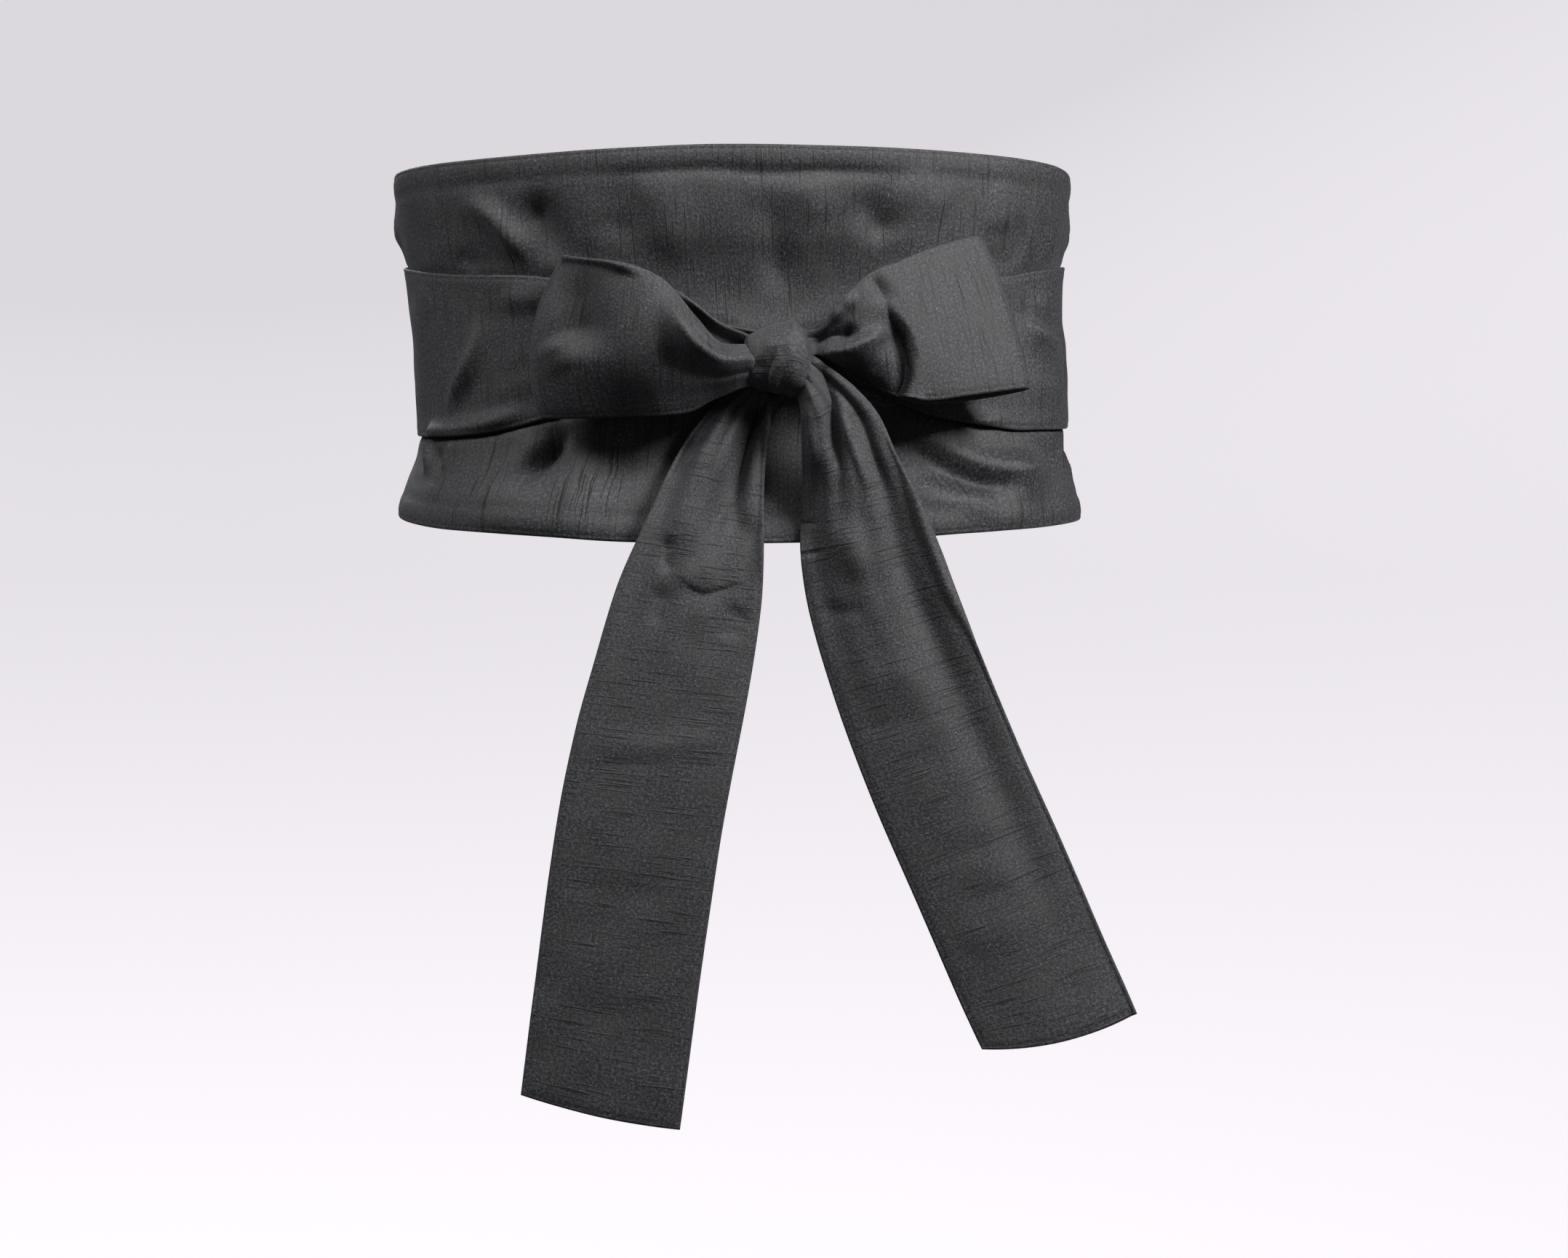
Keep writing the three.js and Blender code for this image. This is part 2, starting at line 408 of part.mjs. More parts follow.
function ribbon(rows, folds, mesh, side) {
  const last = rows.length - 1;
  const length = rows.slice(1).reduce((sum, row, i) => {
    return sum + Math.hypot(row.x - rows[i].x, row.y - rows[i].y, row.z - rows[i].z);
  }, 0);
  const place = (u, v) => {
    const row = between(rows, u * last);
    const [lean, turn] = [radians(row.lean), radians(row.turn)];
    const across = mix(-1, 1, v);
    const way = new THREE.Vector3(Math.cos(lean) * Math.cos(turn), Math.sin(turn), Math.sin(lean) * Math.cos(turn));
    return new THREE.Vector3(row.x, row.y, row.z)
      .addScaledVector(way, across * row.half)
      .add(new THREE.Vector3(row.swell * across * across, 0, row.drop * (across * across - 1)));
  };
  const lift = (u, v) => {
    const row = between(rows, u * last);
    const across = mix(-1, 1, v);
    const toMm = ([share, width]) => [share * length, width * row.half];
    const size = foldLift(folds, u * length, across * row.half, toMm);
    return row.bow * (1 - across * across) + row.gather * pleats(across) + size;
  };
  return clothWall(mesh, TIE_WALL, side, place, lift);
}

// The knot: the tie wrapped once over itself, with a pleat that opens downwards where its right
// part lies over its left part.
function knot(grow) {
  const { along, across } = MESH.knot;
  const points = [];
  const faces = [];
  const surface = (u, v) => {
    const around = u * 2 * Math.PI;
    const up = mix(-Math.PI / 2, Math.PI / 2, v);
    const square = (t) => Math.sign(t) * Math.pow(Math.abs(t), 0.86);
    const [x, y] = [Math.sin(around) * square(Math.cos(up)), -Math.cos(around) * square(Math.cos(up))];
    const z = square(Math.sin(up));
    const pleat = y < 0 ? Math.exp(-Math.pow((x + 0.18 - 0.22 * z) / 0.2, 2)) * smooth(clamp(0.55 - z, 0, 1)) : 0;
    const waist = 1 - 0.1 * pleat;
    return new THREE.Vector3(
      KNOT.x + (KNOT.wide + grow) * x * (1 + 0.08 * z) * waist,
      KNOT.y + (KNOT.deep + grow) * y * waist,
      KNOT.z + (KNOT.tall + grow) * z * waist + 0.6 * x,
    );
  };
  points.push(surface(0, 0));
  for (let j = 1; j < across; j++) for (let i = 0; i < along; i++) points.push(surface(i / along, j / across));
  points.push(surface(0, 1));
  const ring = (j, i) => 1 + (j - 1) * along + (i % along);
  for (let i = 0; i < along; i++) {
    faces.push(0, ring(1, i + 1), ring(1, i));
    faces.push(points.length - 1, ring(across - 1, i), ring(across - 1, i + 1));
    for (let j = 1; j + 1 < across; j++) {
      faces.push(ring(j, i), ring(j, i + 1), ring(j + 1, i + 1), ring(j, i), ring(j + 1, i + 1), ring(j + 1, i));
    }
  }
  return closed(points, faces);
}

// ---------------------------------------------------------------- cutting and assembly
function toSolid(geometry) {
  const merged = mergeVertices(geometry, 1e-4);
  return new wasm.Manifold(
    new wasm.Mesh({
      numProp: 3,
      vertProperties: merged.attributes.position.array,
      triVerts: new Uint32Array(merged.index.array),
    }),
  );
}

function toGeometry(solid) {
  const mesh = solid.getMesh();
  return new THREE.BufferGeometry()
    .setAttribute("position", new THREE.BufferAttribute(new Float32Array(mesh.vertProperties), 3))
    .setIndex(new THREE.BufferAttribute(new Uint32Array(mesh.triVerts), 1));
}

// A piece that runs into the knot ends a gap away from it; the largest remaining body is kept.
function endedAtKnot(geometry, grownKnot) {
  const bodies = toSolid(geometry).subtract(grownKnot).decompose();
  bodies.sort((a, b) => b.volume() - a.volume());
  return toGeometry(bodies[0]);
}

const clothMaterial = () =>
  new THREE.MeshStandardMaterial({ color: CLOTH_COLOUR, roughness: 0.55, metalness: 0 });

const belt = new THREE.Group();
const grownKnot = toSolid(knot(GAP));
const pieces = {
  panel: panel(),
  knot: knot(0),
  tie_wound_left: endedAtKnot(woundTie(WOUND_LEFT, 1), grownKnot),
  tie_wound_right: endedAtKnot(woundTie(WOUND_RIGHT, -1), grownKnot),
  loop_left: endedAtKnot(ribbon(LOOP_LEFT, LOOP_LEFT_FOLDS, MESH.loop, 1), grownKnot),
  loop_right: endedAtKnot(ribbon(LOOP_RIGHT, LOOP_RIGHT_FOLDS, MESH.loop, -1), grownKnot),
  tail_left: endedAtKnot(ribbon(TAIL_LEFT, TAIL_LEFT_FOLDS, MESH.tail, -1), grownKnot),
  tail_right: endedAtKnot(ribbon(TAIL_RIGHT, TAIL_RIGHT_FOLDS, MESH.tail, -1), grownKnot),
};
for (const [name, geometry] of Object.entries(pieces)) {
  const mesh = new THREE.Mesh(geometry, clothMaterial());
  mesh.name = name;
  belt.add(mesh);
}

export default belt;
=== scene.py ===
"""A tied obi belt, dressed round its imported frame: cloth pieces, slub threads, stage and camera."""

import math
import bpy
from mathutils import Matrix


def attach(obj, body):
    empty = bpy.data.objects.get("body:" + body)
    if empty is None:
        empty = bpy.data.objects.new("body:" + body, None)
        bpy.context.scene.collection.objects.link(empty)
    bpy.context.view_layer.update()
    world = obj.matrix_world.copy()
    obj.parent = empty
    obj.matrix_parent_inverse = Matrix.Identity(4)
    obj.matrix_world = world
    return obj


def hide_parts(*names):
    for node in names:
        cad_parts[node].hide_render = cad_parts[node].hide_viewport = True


bl_info = {
    "name": "Tied Obi Belt",
    "version": (1, 0, 0),
    "blender": (4, 5, 0),
    "location": "3D View > Sidebar > Obi Belt",
    "description": "Makes the panel, the wound ties, the bow and the slub threads of a worn obi belt",
    "category": "Object",
}

from collections import namedtuple
from functools import partial

import bpy
import numpy as np
from mathutils import Vector

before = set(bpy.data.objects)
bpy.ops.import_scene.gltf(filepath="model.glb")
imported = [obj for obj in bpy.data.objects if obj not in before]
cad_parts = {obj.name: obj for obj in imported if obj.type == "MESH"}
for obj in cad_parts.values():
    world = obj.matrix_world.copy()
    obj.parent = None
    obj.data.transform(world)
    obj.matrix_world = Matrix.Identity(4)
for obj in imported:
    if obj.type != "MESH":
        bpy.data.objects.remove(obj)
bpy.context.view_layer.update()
MM = 0.001  # metres in a millimetre
BODY = "root"
UV_NAME = "cloth"

# ------------------------------------------------------------------ sizes, in millimetres
PANEL_WALL = 2.2
TIE_WALL = 1.8
REST = 0.6  # air under a tie that lies on another piece
ON_PANEL = PANEL_WALL + REST
ON_TIE = TIE_WALL + REST
TIE_HALF = 30  # half the width of a tie that isn't gathered
PANEL_END = 152  # degrees from the centre front to the panel's sewn ends
SEAM = 0.35  # degrees left open where a tie is sewn to the panel
ROUNDNESS = 2.25  # exponent of the waist's section: 2 is an ellipse
MM_PER_DEGREE = 1.86  # of cloth round the waist, near enough: 670 mm in a full turn
CREASE_FADE = 0.38  # share of a crease's length over which it dies away
SEAM_INSET = 0.35  # how far the seam lies in from the rim of a wall
KNOT_SQUARENESS = 0.86  # exponent of the knot's section: 1 is an ellipse
KNOT_ROUND = 13  # mm of cloth for each radian round the knot
KNOT_RIPPLE = 5.2  # from crest to crest behind the knot
TAIL_RUN = 300  # along a tail, near enough
DEEPEST_SINK = 0.3  # how far a wound tie may sink towards what it lies on
TURN_SHARE = 0.05  # share of a loop's rows over which its creases fade, on each side of its turn


def table(columns, *rows):
    """A short table as named columns."""
    return {name: np.array([row[i] for row in rows], float) for i, name in enumerate(columns.split())}


# The waist that the cloth goes round, which is the panel's inner face. half is half its width, front
# and back are how far it reaches each way, and lean is where its middle lies across the wearer.
FIGURE = table(
    "z half front back lean",
    (-80, 132.0, 100.6, 98.0, 1.0),
    (-62, 130.7, 97.4, 95.2, 1.6),
    (-51, 127.4, 94.0, 92.4, 2.0),
    (-40, 123.6, 91.6, 89.6, 2.4),
    (-30, 122.9, 90.6, 88.2, 2.9),
    (0, 122.8, 90.2, 86.6, 1.2),
    (26, 123.8, 91.2, 87.4, -0.3),
    (38, 126.9, 93.0, 89.4, -0.6),
    (54, 129.5, 94.6, 91.4, -1.1),
    (74, 130.7, 95.4, 92.6, -1.4),
)

# The panel's long edges, by degrees from the centre front.
PANEL_EDGES = table(
    "phi top bottom",
    (-152, 1, -42),
    (-143, 17, -47),
    (-130, 42, -54),
    (-112, 61, -60),
    (-90, 67.2, -64),
    (-57, 67.0, -72.2),
    (-24, 68.8, -77),
    (0, 70, -77.6),
    (26, 69.6, -76.6),
    (57, 68.8, -71.8),
    (90, 67.4, -65),
    (112, 61, -60),
    (130, 42, -54),
    (143, 17, -47),
    (152, 1, -42),
)

# The ties' stretches round the waist, from the sewn end over the back to the knot. phi is in degrees
# from the centre front, counted on past the back, z is the height of the tie's middle, half is half its
# width, out is how far its inner face lies from the waist's, and gather is the depth of its pleats.
WOUND = "phi z half out gather"
WOUND_LEFT = table(
    WOUND,
    (152, -20.5, 21.5, 0.0, 0.6),
    (166, -12, 20.5, 0.0, 1.4),
    (180, 1, 19.5, 0.0, 1.6),
    (194, 15, 19, 0.2, 1.6),
    (203, 22.5, 19.5, 1.8, 1.4),
    (208, 24.5, 20.5, ON_PANEL, 1.1),
    (224, 20, 26, ON_PANEL, 0.4),
    (245, 8, 31, ON_PANEL, 0.0),
    (270, 0.2, 32.6, ON_PANEL, 0.0),
    (303, -5.8, 30.2, ON_PANEL, 0.4),
    (322, -4.0, 25.4, ON_PANEL, 1.4),
    (340, -6.4, 18.4, 3.4, 2.6),
    (356, -8.4, 12.4, 5.4, 3.0),
    (368, -9.4, 9.4, 7.0, 2.8),
)
WOUND_RIGHT = table(
    WOUND,
    (152, -20.5, 21.5, 0.0, 0.6),
    (156, -20, 20, 0.7, 1.0),
    (160, -18.6, 19, 2.9, 1.2),
    (164, -15.4, 19, ON_TIE + 2.0, 1.4),
    (180, 0, 19.5, ON_TIE + 2.0, 1.6),
    (198, 14.5, 20.5, ON_TIE + 2.0, 1.4),
    (208, 17, 22.5, ON_PANEL + 0.6, 1.0),
    (226, 14, 27, ON_PANEL, 0.4),
    (245, 7, 30.5, ON_PANEL, 0.0),
    (270, 1.6, 31.4, ON_PANEL, 0.0),
    (292, -2.8, 30.2, ON_PANEL, 0.2),
    (303, -5.0, 28.6, ON_PANEL, 0.6),
    (318, -4.9, 25.4, ON_PANEL, 1.6),
    (331, -6.0, 15.5, 4.0, 2.6),
    (341, -8.4, 11.0, 5.8, 2.8),
    (352, -9.4, 9.4, 7.0, 2.8),
)

# Free ribbons. x, y and z place the middle of the tie, half is half its width, lean and turn point
# the direction across it, bow lifts the middle, swell moves the edges towards +X, gather is the depth
# of its pleats, and drop is how far its middle hangs below its edges.
RIBBON = "x y z half lean turn bow swell gather drop"
LOOP_LEFT = table(
    RIBBON,
    (14, -110, -12.0, 7.0, 90, 0, 1.0, 0, 0.6, 0),
    (5, -112, -13.0, 7.8, 90, 0, 1.5, 0, 0.8, 0),
    (-4, -113.5, -14.4, 10.0, 90, 0, 2.0, 0, 0.7, 0),
    (-14, -115, -12.0, 17.2, 90, 0, 2.5, 0.5, 0.4, 0),
    (-27, -115, -6.0, 25.2, 90, -2, 3.0, 1, 0.1, 0),
    (-43, -111, -3.6, 28.4, 88, -7, 3.5, 2.5, 0, 0),
    (-60, -103.5, -2.4, 29.4, 84, -9, 3.0, 4.5, 0, 0),
    (-71.1, -96.5, -1.8, 29.8, 82.4, -6, 1.2, 6.4, 0, 0),
    (-73.3, -93.6, -1.6, 29.8, 82.2, -4, 0.2, 6.7, 0, 0),
    (-70.6, -91.4, -1.6, 29.8, 82.4, -3.5, 0, 6.4, 0, 0),
    (-55, -94.3, -2.4, 29.0, 85, -2, 0, 3.5, 0, 0),
    (-36, -100.0, -4.4, 26.2, 89, 0, 0, 1, 0.2, 0),
    (-18, -103.4, -6.6, 20.6, 90, 0, 0, 0, 0.5, 0),
    (-3, -104.8, -10.0, 12.6, 90, 0, 0, 0, 0.7, 0),
    (14, -105.4, -10.8, 7.0, 90, 0, 0, 0, 0.6, 0),
)
LOOP_RIGHT = table(
    RIBBON,
    (22, -107.4, -5.6, 5.0, 90, 0, 0.8, 0, 0.5, 0),
    (31, -109.4, -4.2, 5.0, 92, 0, 1.2, 0, 0.7, 0),
    (39, -111.4, -2.6, 10.6, 95, 0, 1.6, 0, 0.6, 0),
    (50, -112.6, -0.8, 19.6, 98, 2, 2.0, 0, 0.3, 0),
    (62.5, -110.8, -0.6, 25.4, 102, 4, 2.0, 0, 0, 0),
    (79, -105.0, 3.4, 28.2, 104.4, 6, 1.5, -0.3, 0, 0),
    (93, -97.2, 6.8, 29.4, 105.8, 6, 1.2, -0.8, 0, 0),
    (100.6, -91.6, 8.3, 29.8, 106.8, 5, 0.6, -1.3, 0, 0),
    (102.4, -88.2, 8.3, 29.8, 107, 4, 0.2, -1.5, 0, 0),
    (99.6, -85.6, 7.6, 29.8, 106.8, 3, 0, -1.3, 0, 0),
    (82, -90.4, 3.0, 28.2, 104, 0, 0, -0.5, 0, 0),
    (64, -97.0, -1.4, 24.4, 100, 0, 0, 0, 0.2, 0),
    (49, -101.2, -3.0, 17.4, 96, 0, 0, 0, 0.5, 0),
    (38, -103.0, -4.6, 10.6, 93, 0, 0, 0, 0.6, 0),
    (22, -103.6, -6.0, 5.6, 90, 0, 0, 0, 0.5, 0),
)
TAIL_LEFT = table(
    RIBBON,
    (13, -101.6, -17, 8.0, -18, 0, 0.5, 0, 1.2, 0),
    (5.6, -101.4, -27, 10.8, -12, 0, 1.5, 0, 1.8, 0),
    (-2.4, -102.0, -42, 15.0, -8, 0, 2.5, 0, 2.2, 0),
    (-6.8, -103.4, -58, 18.6, -9, 0, 3.0, 0, 2.0, 0),
    (-11.0, -105.8, -76.5, 22.8, -8, 0, 3.0, 0, 1.4, 0),
    (-16.0, -107.0, -98, 26.8, -8, 0, 2.4, 0, 0.8, 0),
    (-21.8, -107.6, -124, 28.8, -7, 0, 1.8, 0, 0.3, 0),
    (-27.6, -107.6, -149, 29.9, -7, 0, 1.4, 0, 0, 0),
    (-33.2, -106.8, -177, 30.2, -7, 0, 1.2, 0, 0, 0),
    (-37.4, -105.2, -204, 30.2, -7.4, 0, 1.2, 0, 0, 0),
    (-42.4, -102.6, -240, 30.0, -7.6, 0, 1.2, 0, 0, 0),
    (-48.6, -99.0, -287, 30.0, -12.4, 0, 1.0, 0, 0, 1.6),
)
TAIL_RIGHT = table(
    RIBBON,
    (25, -111.6, -12, 5.0, 36, 0, 0.5, 0, 0.6, 0),
    (34.8, -112.2, -25, 10.8, 24, 0, 1.5, 0, 1.4, 0),
    (39.2, -111.0, -34, 14.4, 16, 0, 2.5, 0, 1.8, 0),
    (43.0, -109.4, -49, 17.8, 12, -4, 3.2, 0, 2.0, 0),
    (47.2, -108.0, -69, 23.2, 12, -6, 3.4, 0, 1.4, 0),
    (53.2, -107.2, -93, 26.6, 15, -5, 3.2, 0, 0.8, 0),
    (63.8, -106.2, -125, 28.0, 17, -2, 3.0, 0, 0.3, 0),
    (78.8, -103.6, -163, 28.8, 19.5, 2, 2.8, 0, 0, 0),
    (94.6, -100.2, -198.6, 29.1, 21.5, 4, 2.8, 0, 0, 0),
    (110.0, -96.0, -234, 29.3, 20, 6, 2.8, 0, 0, 0),
    (120.8, -93.0, -257.7, 29.8, 12.2, 8, 3.0, 0, 0, 3.6),
)

# Creases listed one by one. path runs through points on the cloth, half is how far the crease spreads
# to each side, depth is how far it lifts the cloth (negative pushes it in), crisp is 0 for a soft
# swell and 1 for a sharp crest, tilt is how much steeper it falls on the left of its path, and ends
# says where it dies away: "both", "first", "last" or "none".
Crease = namedtuple("Crease", "path half depth crisp tilt ends", defaults=(0.3, 0.0, "both"))

# A fold's edge: the cloth on the left of the path lies lower. It drops by depth within short, and
# comes back over about long.
Step = namedtuple("Step", "path short long depth ends", defaults=("both",))

# The knot, in sections across the wearer: the heights of its top and bottom, and how far its front
# reaches from its middle.
KNOT_Y = -107.4
KNOT = table(
    "x high low deep",
    (4.3, -9.5, -11.5, 1.0),
    (4.5, -3.8, -17.6, 5.0),
    (5.6, -1.8, -19.6, 8.6),
    (8.0, -0.4, -20.8, 10.6),
    (11.0, 0.9, -21.6, 11.8),
    (14.0, 2.2, -22.3, 12.6),
    (17.0, 3.0, -22.9, 13.2),
    (20.0, 3.6, -23.3, 13.5),
    (22.5, 3.9, -23.7, 13.4),
    (25.0, 2.0, -23.7, 12.6),
    (27.0, -0.8, -22.2, 11.2),
    (28.6, -5.2, -20.0, 9.0),
    (29.8, -9.4, -16.8, 6.4),
    (30.4, -12.0, -14.5, 2.4),
    (30.6, -13.0, -13.6, 0.6),
)
# Where the knot's right part folds over its left part, as (x, z) in the front view.
KNOT_STEPS = (
    Step(((13.8, -25), (13.6, -21), (14.3, -16.8), (15.7, -12.4), (16.6, -8.6), (17.4, -5.2)),
         0.8, 5.0, 1.2, "last"),
)
KNOT_CREASES = (
    Crease(((15.6, -24), (15.6, -20), (16.6, -16), (18.0, -12), (18.6, -8)), 1.5, 0.7, 0.2, 0.0, "last"),
    Crease(((9.6, -22), (9.4, -14), (10.4, -6), (11.6, 0)), 2.0, -0.5, 0.2),
    Crease(((24.6, -22), (25.4, -14), (24.6, -6)), 2.2, -0.45, 0.2),
    Crease(((20.5, -18), (21.4, -10), (20.8, -2)), 2.2, 0.45, 0.1),
    Crease(((5.5, -12), (11, -13.5), (14, -13)), 2.2, -0.5, 0.1),
)

# On the panel and the wound ties a point is (degrees from the centre front, height).
PANEL_SWELLS = (
    Crease(((-50, 20), (-22, 12), (6, 10), (32, 14), (50, 22)), 19, -3.8, 0.0),
    Crease(((-66, -57), (-52, -63), (-36, -68), (-18, -69)), 14, 4.2, 0.0),
    Crease(((-24, -67), (-6, -69), (10, -69)), 12, 0.8, 0.0),
    Crease(((30, -70), (42, -69), (54, -65), (66, -58)), 13, 4.8, 0.0),
)
PANEL_CREASES = (
    Crease(((-58, 53), (-52, 48.5), (-48.5, 42), (-46, 34), (-44, 24)), 4.6, 4.2, 0.4),
    Crease(((-45, 53), (-41, 46), (-39, 36), (-38, 26)), 6.5, -3.8, 0.2),
    Crease(((-60, 33), (-57.5, 29), (-56, 24)), 2.4, -1.2, 0.5),
    Crease(((-74, 54), (-70, 42), (-68, 28)), 7, -1.0, 0.0),
    Crease(((-27, 60), (-24, 46), (-26, 30)), 9, -1.4, 0.0),
    Crease(((-18, 62), (-14, 46), (-13, 22)), 8, 1.3, 0.0),
    Crease(((7, 54), (9, 42), (10.5, 26), (10, 12)), 7.0, -2.2, 0.15),
    Crease(((15, 60), (17.5, 50), (20, 40)), 7.5, 1.5, 0.0),
    Crease(((27, 54), (31, 44), (35.5, 33)), 7, -2.6, 0.15),
    Crease(((36, 60), (41, 53), (47, 47)), 8, 1.5, 0.0),
    Crease(((54, 58), (57, 48), (58, 38)), 7, 0.9, 0.0),
    Crease(((61, 50), (62.5, 39), (63, 28)), 2.8, -1.2, 0.3),
    Crease(((65, 53), (66, 40), (67, 28)), 1.9, 0.9, 0.4),
    Crease(((67.5, 49), (69.5, 38), (70, 28)), 1.8, -0.9, 0.4),
    Crease(((71.5, 46), (73.5, 36), (74.5, 28)), 2.0, 0.8, 0.4),
    Crease(((80, 50), (81, 40), (80, 30)), 3.0, -0.8, 0.3),
    Crease(((-34, 60), (-20, 59.4), (-4, 60.6), (8, 59), (26, 60), (44, 57.5)), 2.6, -1.1, 0.2),
    Crease(((-73, -37), (-71.5, -44), (-70, -51)), 2.2, 2.4, 0.4),
    Crease(((-67.5, -39), (-67, -47), (-66, -55)), 2.4, -2.6, 0.4),
    Crease(((-63.5, -37), (-64.5, -43), (-65, -50)), 2.0, 1.8, 0.5),
    Crease(((-36.5, -33), (-38.5, -39), (-40.5, -46), (-43.5, -53), (-46.5, -58.5)), 3.8, -4.4, 0.3, 0.35),
    Crease(((-42, -35), (-44.5, -44), (-49, -54)), 5.5, 2.4, 0.1),
    Crease(((-31, -44), (-34, -53), (-38, -62)), 5.5, 1.8, 0.1),
    Crease(((-24, -40), (-27, -54), (-26, -64)), 6.5, -1.6, 0.1),
    Crease(((33, -35), (36, -40), (40, -45.5), (45, -51), (51, -55.5), (60, -57)), 4.4, -4.0, 0.1),
    Crease(((38, -31), (41, -37), (45, -43.5), (50, -48), (57, -50), (65, -48), (72, -43)), 7.0, 5.6, 0.0),
    Crease(((40, -35), (43, -40), (48, -46.9), (53, -50.3), (60, -51), (66, -48.5)), 2.2, 1.2, 0.4),
    Crease(((33, -49), (38, -57), (45, -62), (54, -64)), 4.5, 1.4, 0.0),
    Crease(((34, -56), (42, -62), (54, -64)), 4.0, 1.2, 0.1),
    Crease(((76, -36), (80, -44), (88, -49)), 3.5, 1.7, 0.4),
    Crease(((116, 52), (123, 34), (130, 12)), 5.5, 2.2, 0.4),
    Crease(((124, 40), (131, 26), (138, 6)), 4.5, -1.8, 0.3),
    Crease(((-114, 50), (-122, 34), (-130, 16)), 5.5, -1.9, 0.3),
    Crease(((-124, 42), (-133, 22), (-142, 2)), 4.5, 1.8, 0.4),
    Crease(((-92, -38), (-104, -44), (-122, -49)), 4.0, 2.1, 0.4),
    Crease(((-100, -36), (-114, -39), (-132, -43)), 3.2, -1.6, 0.3),
    Crease(((100, -36), (116, -41), (136, -44)), 4.0, 2.1, 0.4),
    Crease(((110, -44), (126, -50), (140, -48)), 3.5, -1.6, 0.3),
    Crease(((96, 58), (101, 46), (104, 36)), 5, -1.9, 0.2),
    Crease(((90, 56), (93, 44), (94, 36)), 4, 1.5, 0.3),
    Crease(((-94, 58), (-89, 47), (-86, 37)), 5, 1.9, 0.3),
    Crease(((-104, 55), (-101, 45), (-96, 38)), 4, -1.5, 0.3),
)
WOUND_LEFT_CREASES = (
    Crease(((-55, 10), (-56.5, 0), (-59, -11), (-63, -21), (-66, -30)), 3.4, 2.8, 0.3, -0.2),
    Crease(((-70, -34), (-60, -33.5), (-52, -31), (-45, -26)), 3.2, 2.6, 0.1, 0.0, "last"),
    Crease(((-50, 16), (-45, 13), (-40, 14)), 5, 1.2, 0.1),
    Crease(((-80, 20), (-76, 4), (-79, -14)), 8, 0.8, 0.0),
    Crease(((-72, 25), (-70, 16), (-70, 6)), 3, 0.8, 0.3),
    Crease(((-100, 10), (-112, 14), (-126, 12)), 5, 1.4, 0.3),
    Crease(((-96, -8), (-112, -2), (-130, 6)), 4.5, 1.7, 0.4),
    Crease(((-104, -18), (-120, -10), (-138, 4)), 4.0, 1.4, 0.4),
)
WOUND_RIGHT_CREASES = (
    Crease(((61, 10), (66, 5), (72, 1.5), (80, -1)), 3.6, 2.4, 0.3, 0.3),
    Crease(((60, -14), (68, -17), (80, -14)), 6.5, 1.2, 0.1),
    Crease(((40, -25.5), (44, -29), (50, -31), (58, -31)), 2.4, 2.4, 0.2, 0.0, "last"),
    Crease(((74, 22), (70, 14), (64, 16)), 4, 0.8, 0.1),
    Crease(((86, 12), (84, -4), (88, -18)), 6, 0.9, 0.1),
    Crease(((100, 16), (114, 12), (128, 6)), 5, 1.6, 0.4),
    Crease(((98, -6), (114, -4), (132, 0)), 4.5, 1.5, 0.4),
    Crease(((104, -20), (120, -14), (136, -6)), 4.0, 1.4, 0.4),
)
# On the bow a point is (x, z), in the front view.
LOOP_LEFT_CREASES = (
    Crease(((5, -10.5), (-2, -11), (-8, -9.6), (-13, -5.5), (-18, 1), (-22, 8), (-26, 15)),
           4.2, 5.0, 0.25, 0.0, "last"),
    Crease(((-4, -8), (-14, -2), (-22, 6), (-31, 14)), 8.5, 2.4, 0.0, 0.0, "last"),
    Crease(((4, -6.5), (-4, -6.2), (-8.5, -2.5), (-11.5, 4), (-17, 11.5)), 2.6, -3.6, 0.1),
    Crease(((-4, -9.4), (-10.5, -5), (-14.5, 1), (-16.5, 8)), 1.2, -1.0, 0.5),
    Crease(((4, -20), (-10, -27), (-26, -31), (-44, -33), (-60, -32)), 14, -6.0, 0.0),
    Crease(((-6, -14), (-16, -12), (-28, -9)), 5.5, -1.8, 0.0),
    Crease(((-66, -1), (-62.5, -8), (-59, -15)), 7, 1.3, 0.0),
    Crease(((-60, 25), (-56, 14), (-53.5, 2), (-53, -12)), 8.5, -4.0, 0.0),
    Crease(((-62, 27.6), (-50, 26.2), (-40, 23.8), (-30, 19.6)), 1.9, 2.6, 0.0, 0.0, "last"),
)
LOOP_LEFT_BACK = (
    Crease(((4, 0), (-4, 3.5), (-12, 9.5), (-20, 14.5), (-28, 19)), 3.6, -5.0, 0.1, 0.0, "last"),
    Crease(((6, -6), (-3, -2), (-12, 3), (-20, 8)), 4.5, 1.8, 0.0, 0.0, "last"),
    Crease(((-8, -16), (-22, -14), (-40, -16)), 5, -1.6, 0.2, 0.0, "last"),
)
LOOP_RIGHT_CREASES = (
    Crease(((29, -9.2), (38, -8.4), (46, -6), (52, -2.4), (57.5, 3)), 3.3, 4.6, 0.25, 0.2, "last"),
    Crease(((31, -4), (36, -2.2), (42, -1.6), (47, 1.5)), 3.0, -4.2, 0.2, 0.0, "last"),
    Crease(((34, 4), (39, 9), (45, 15)), 4.2, 2.4, 0.1),
    Crease(((50, 22), (54.5, 14), (57.5, 7)), 3.0, -2.0, 0.2),
    Crease(((32, -14), (40, -18), (50, -22), (60, -25)), 8.5, -7.5, 0.0),
    Crease(((57, -24.5), (64, -25.5), (72, -25)), 2.2, 1.4, 0.2),
)
LOOP_RIGHT_STEPS = (
    Step(((62, -27), (65.6, -21), (67, -14), (66.8, -7), (64, 0.5), (59.5, 7), (56.5, 13)),
         2.6, 13.0, 7.0, "last"),
)
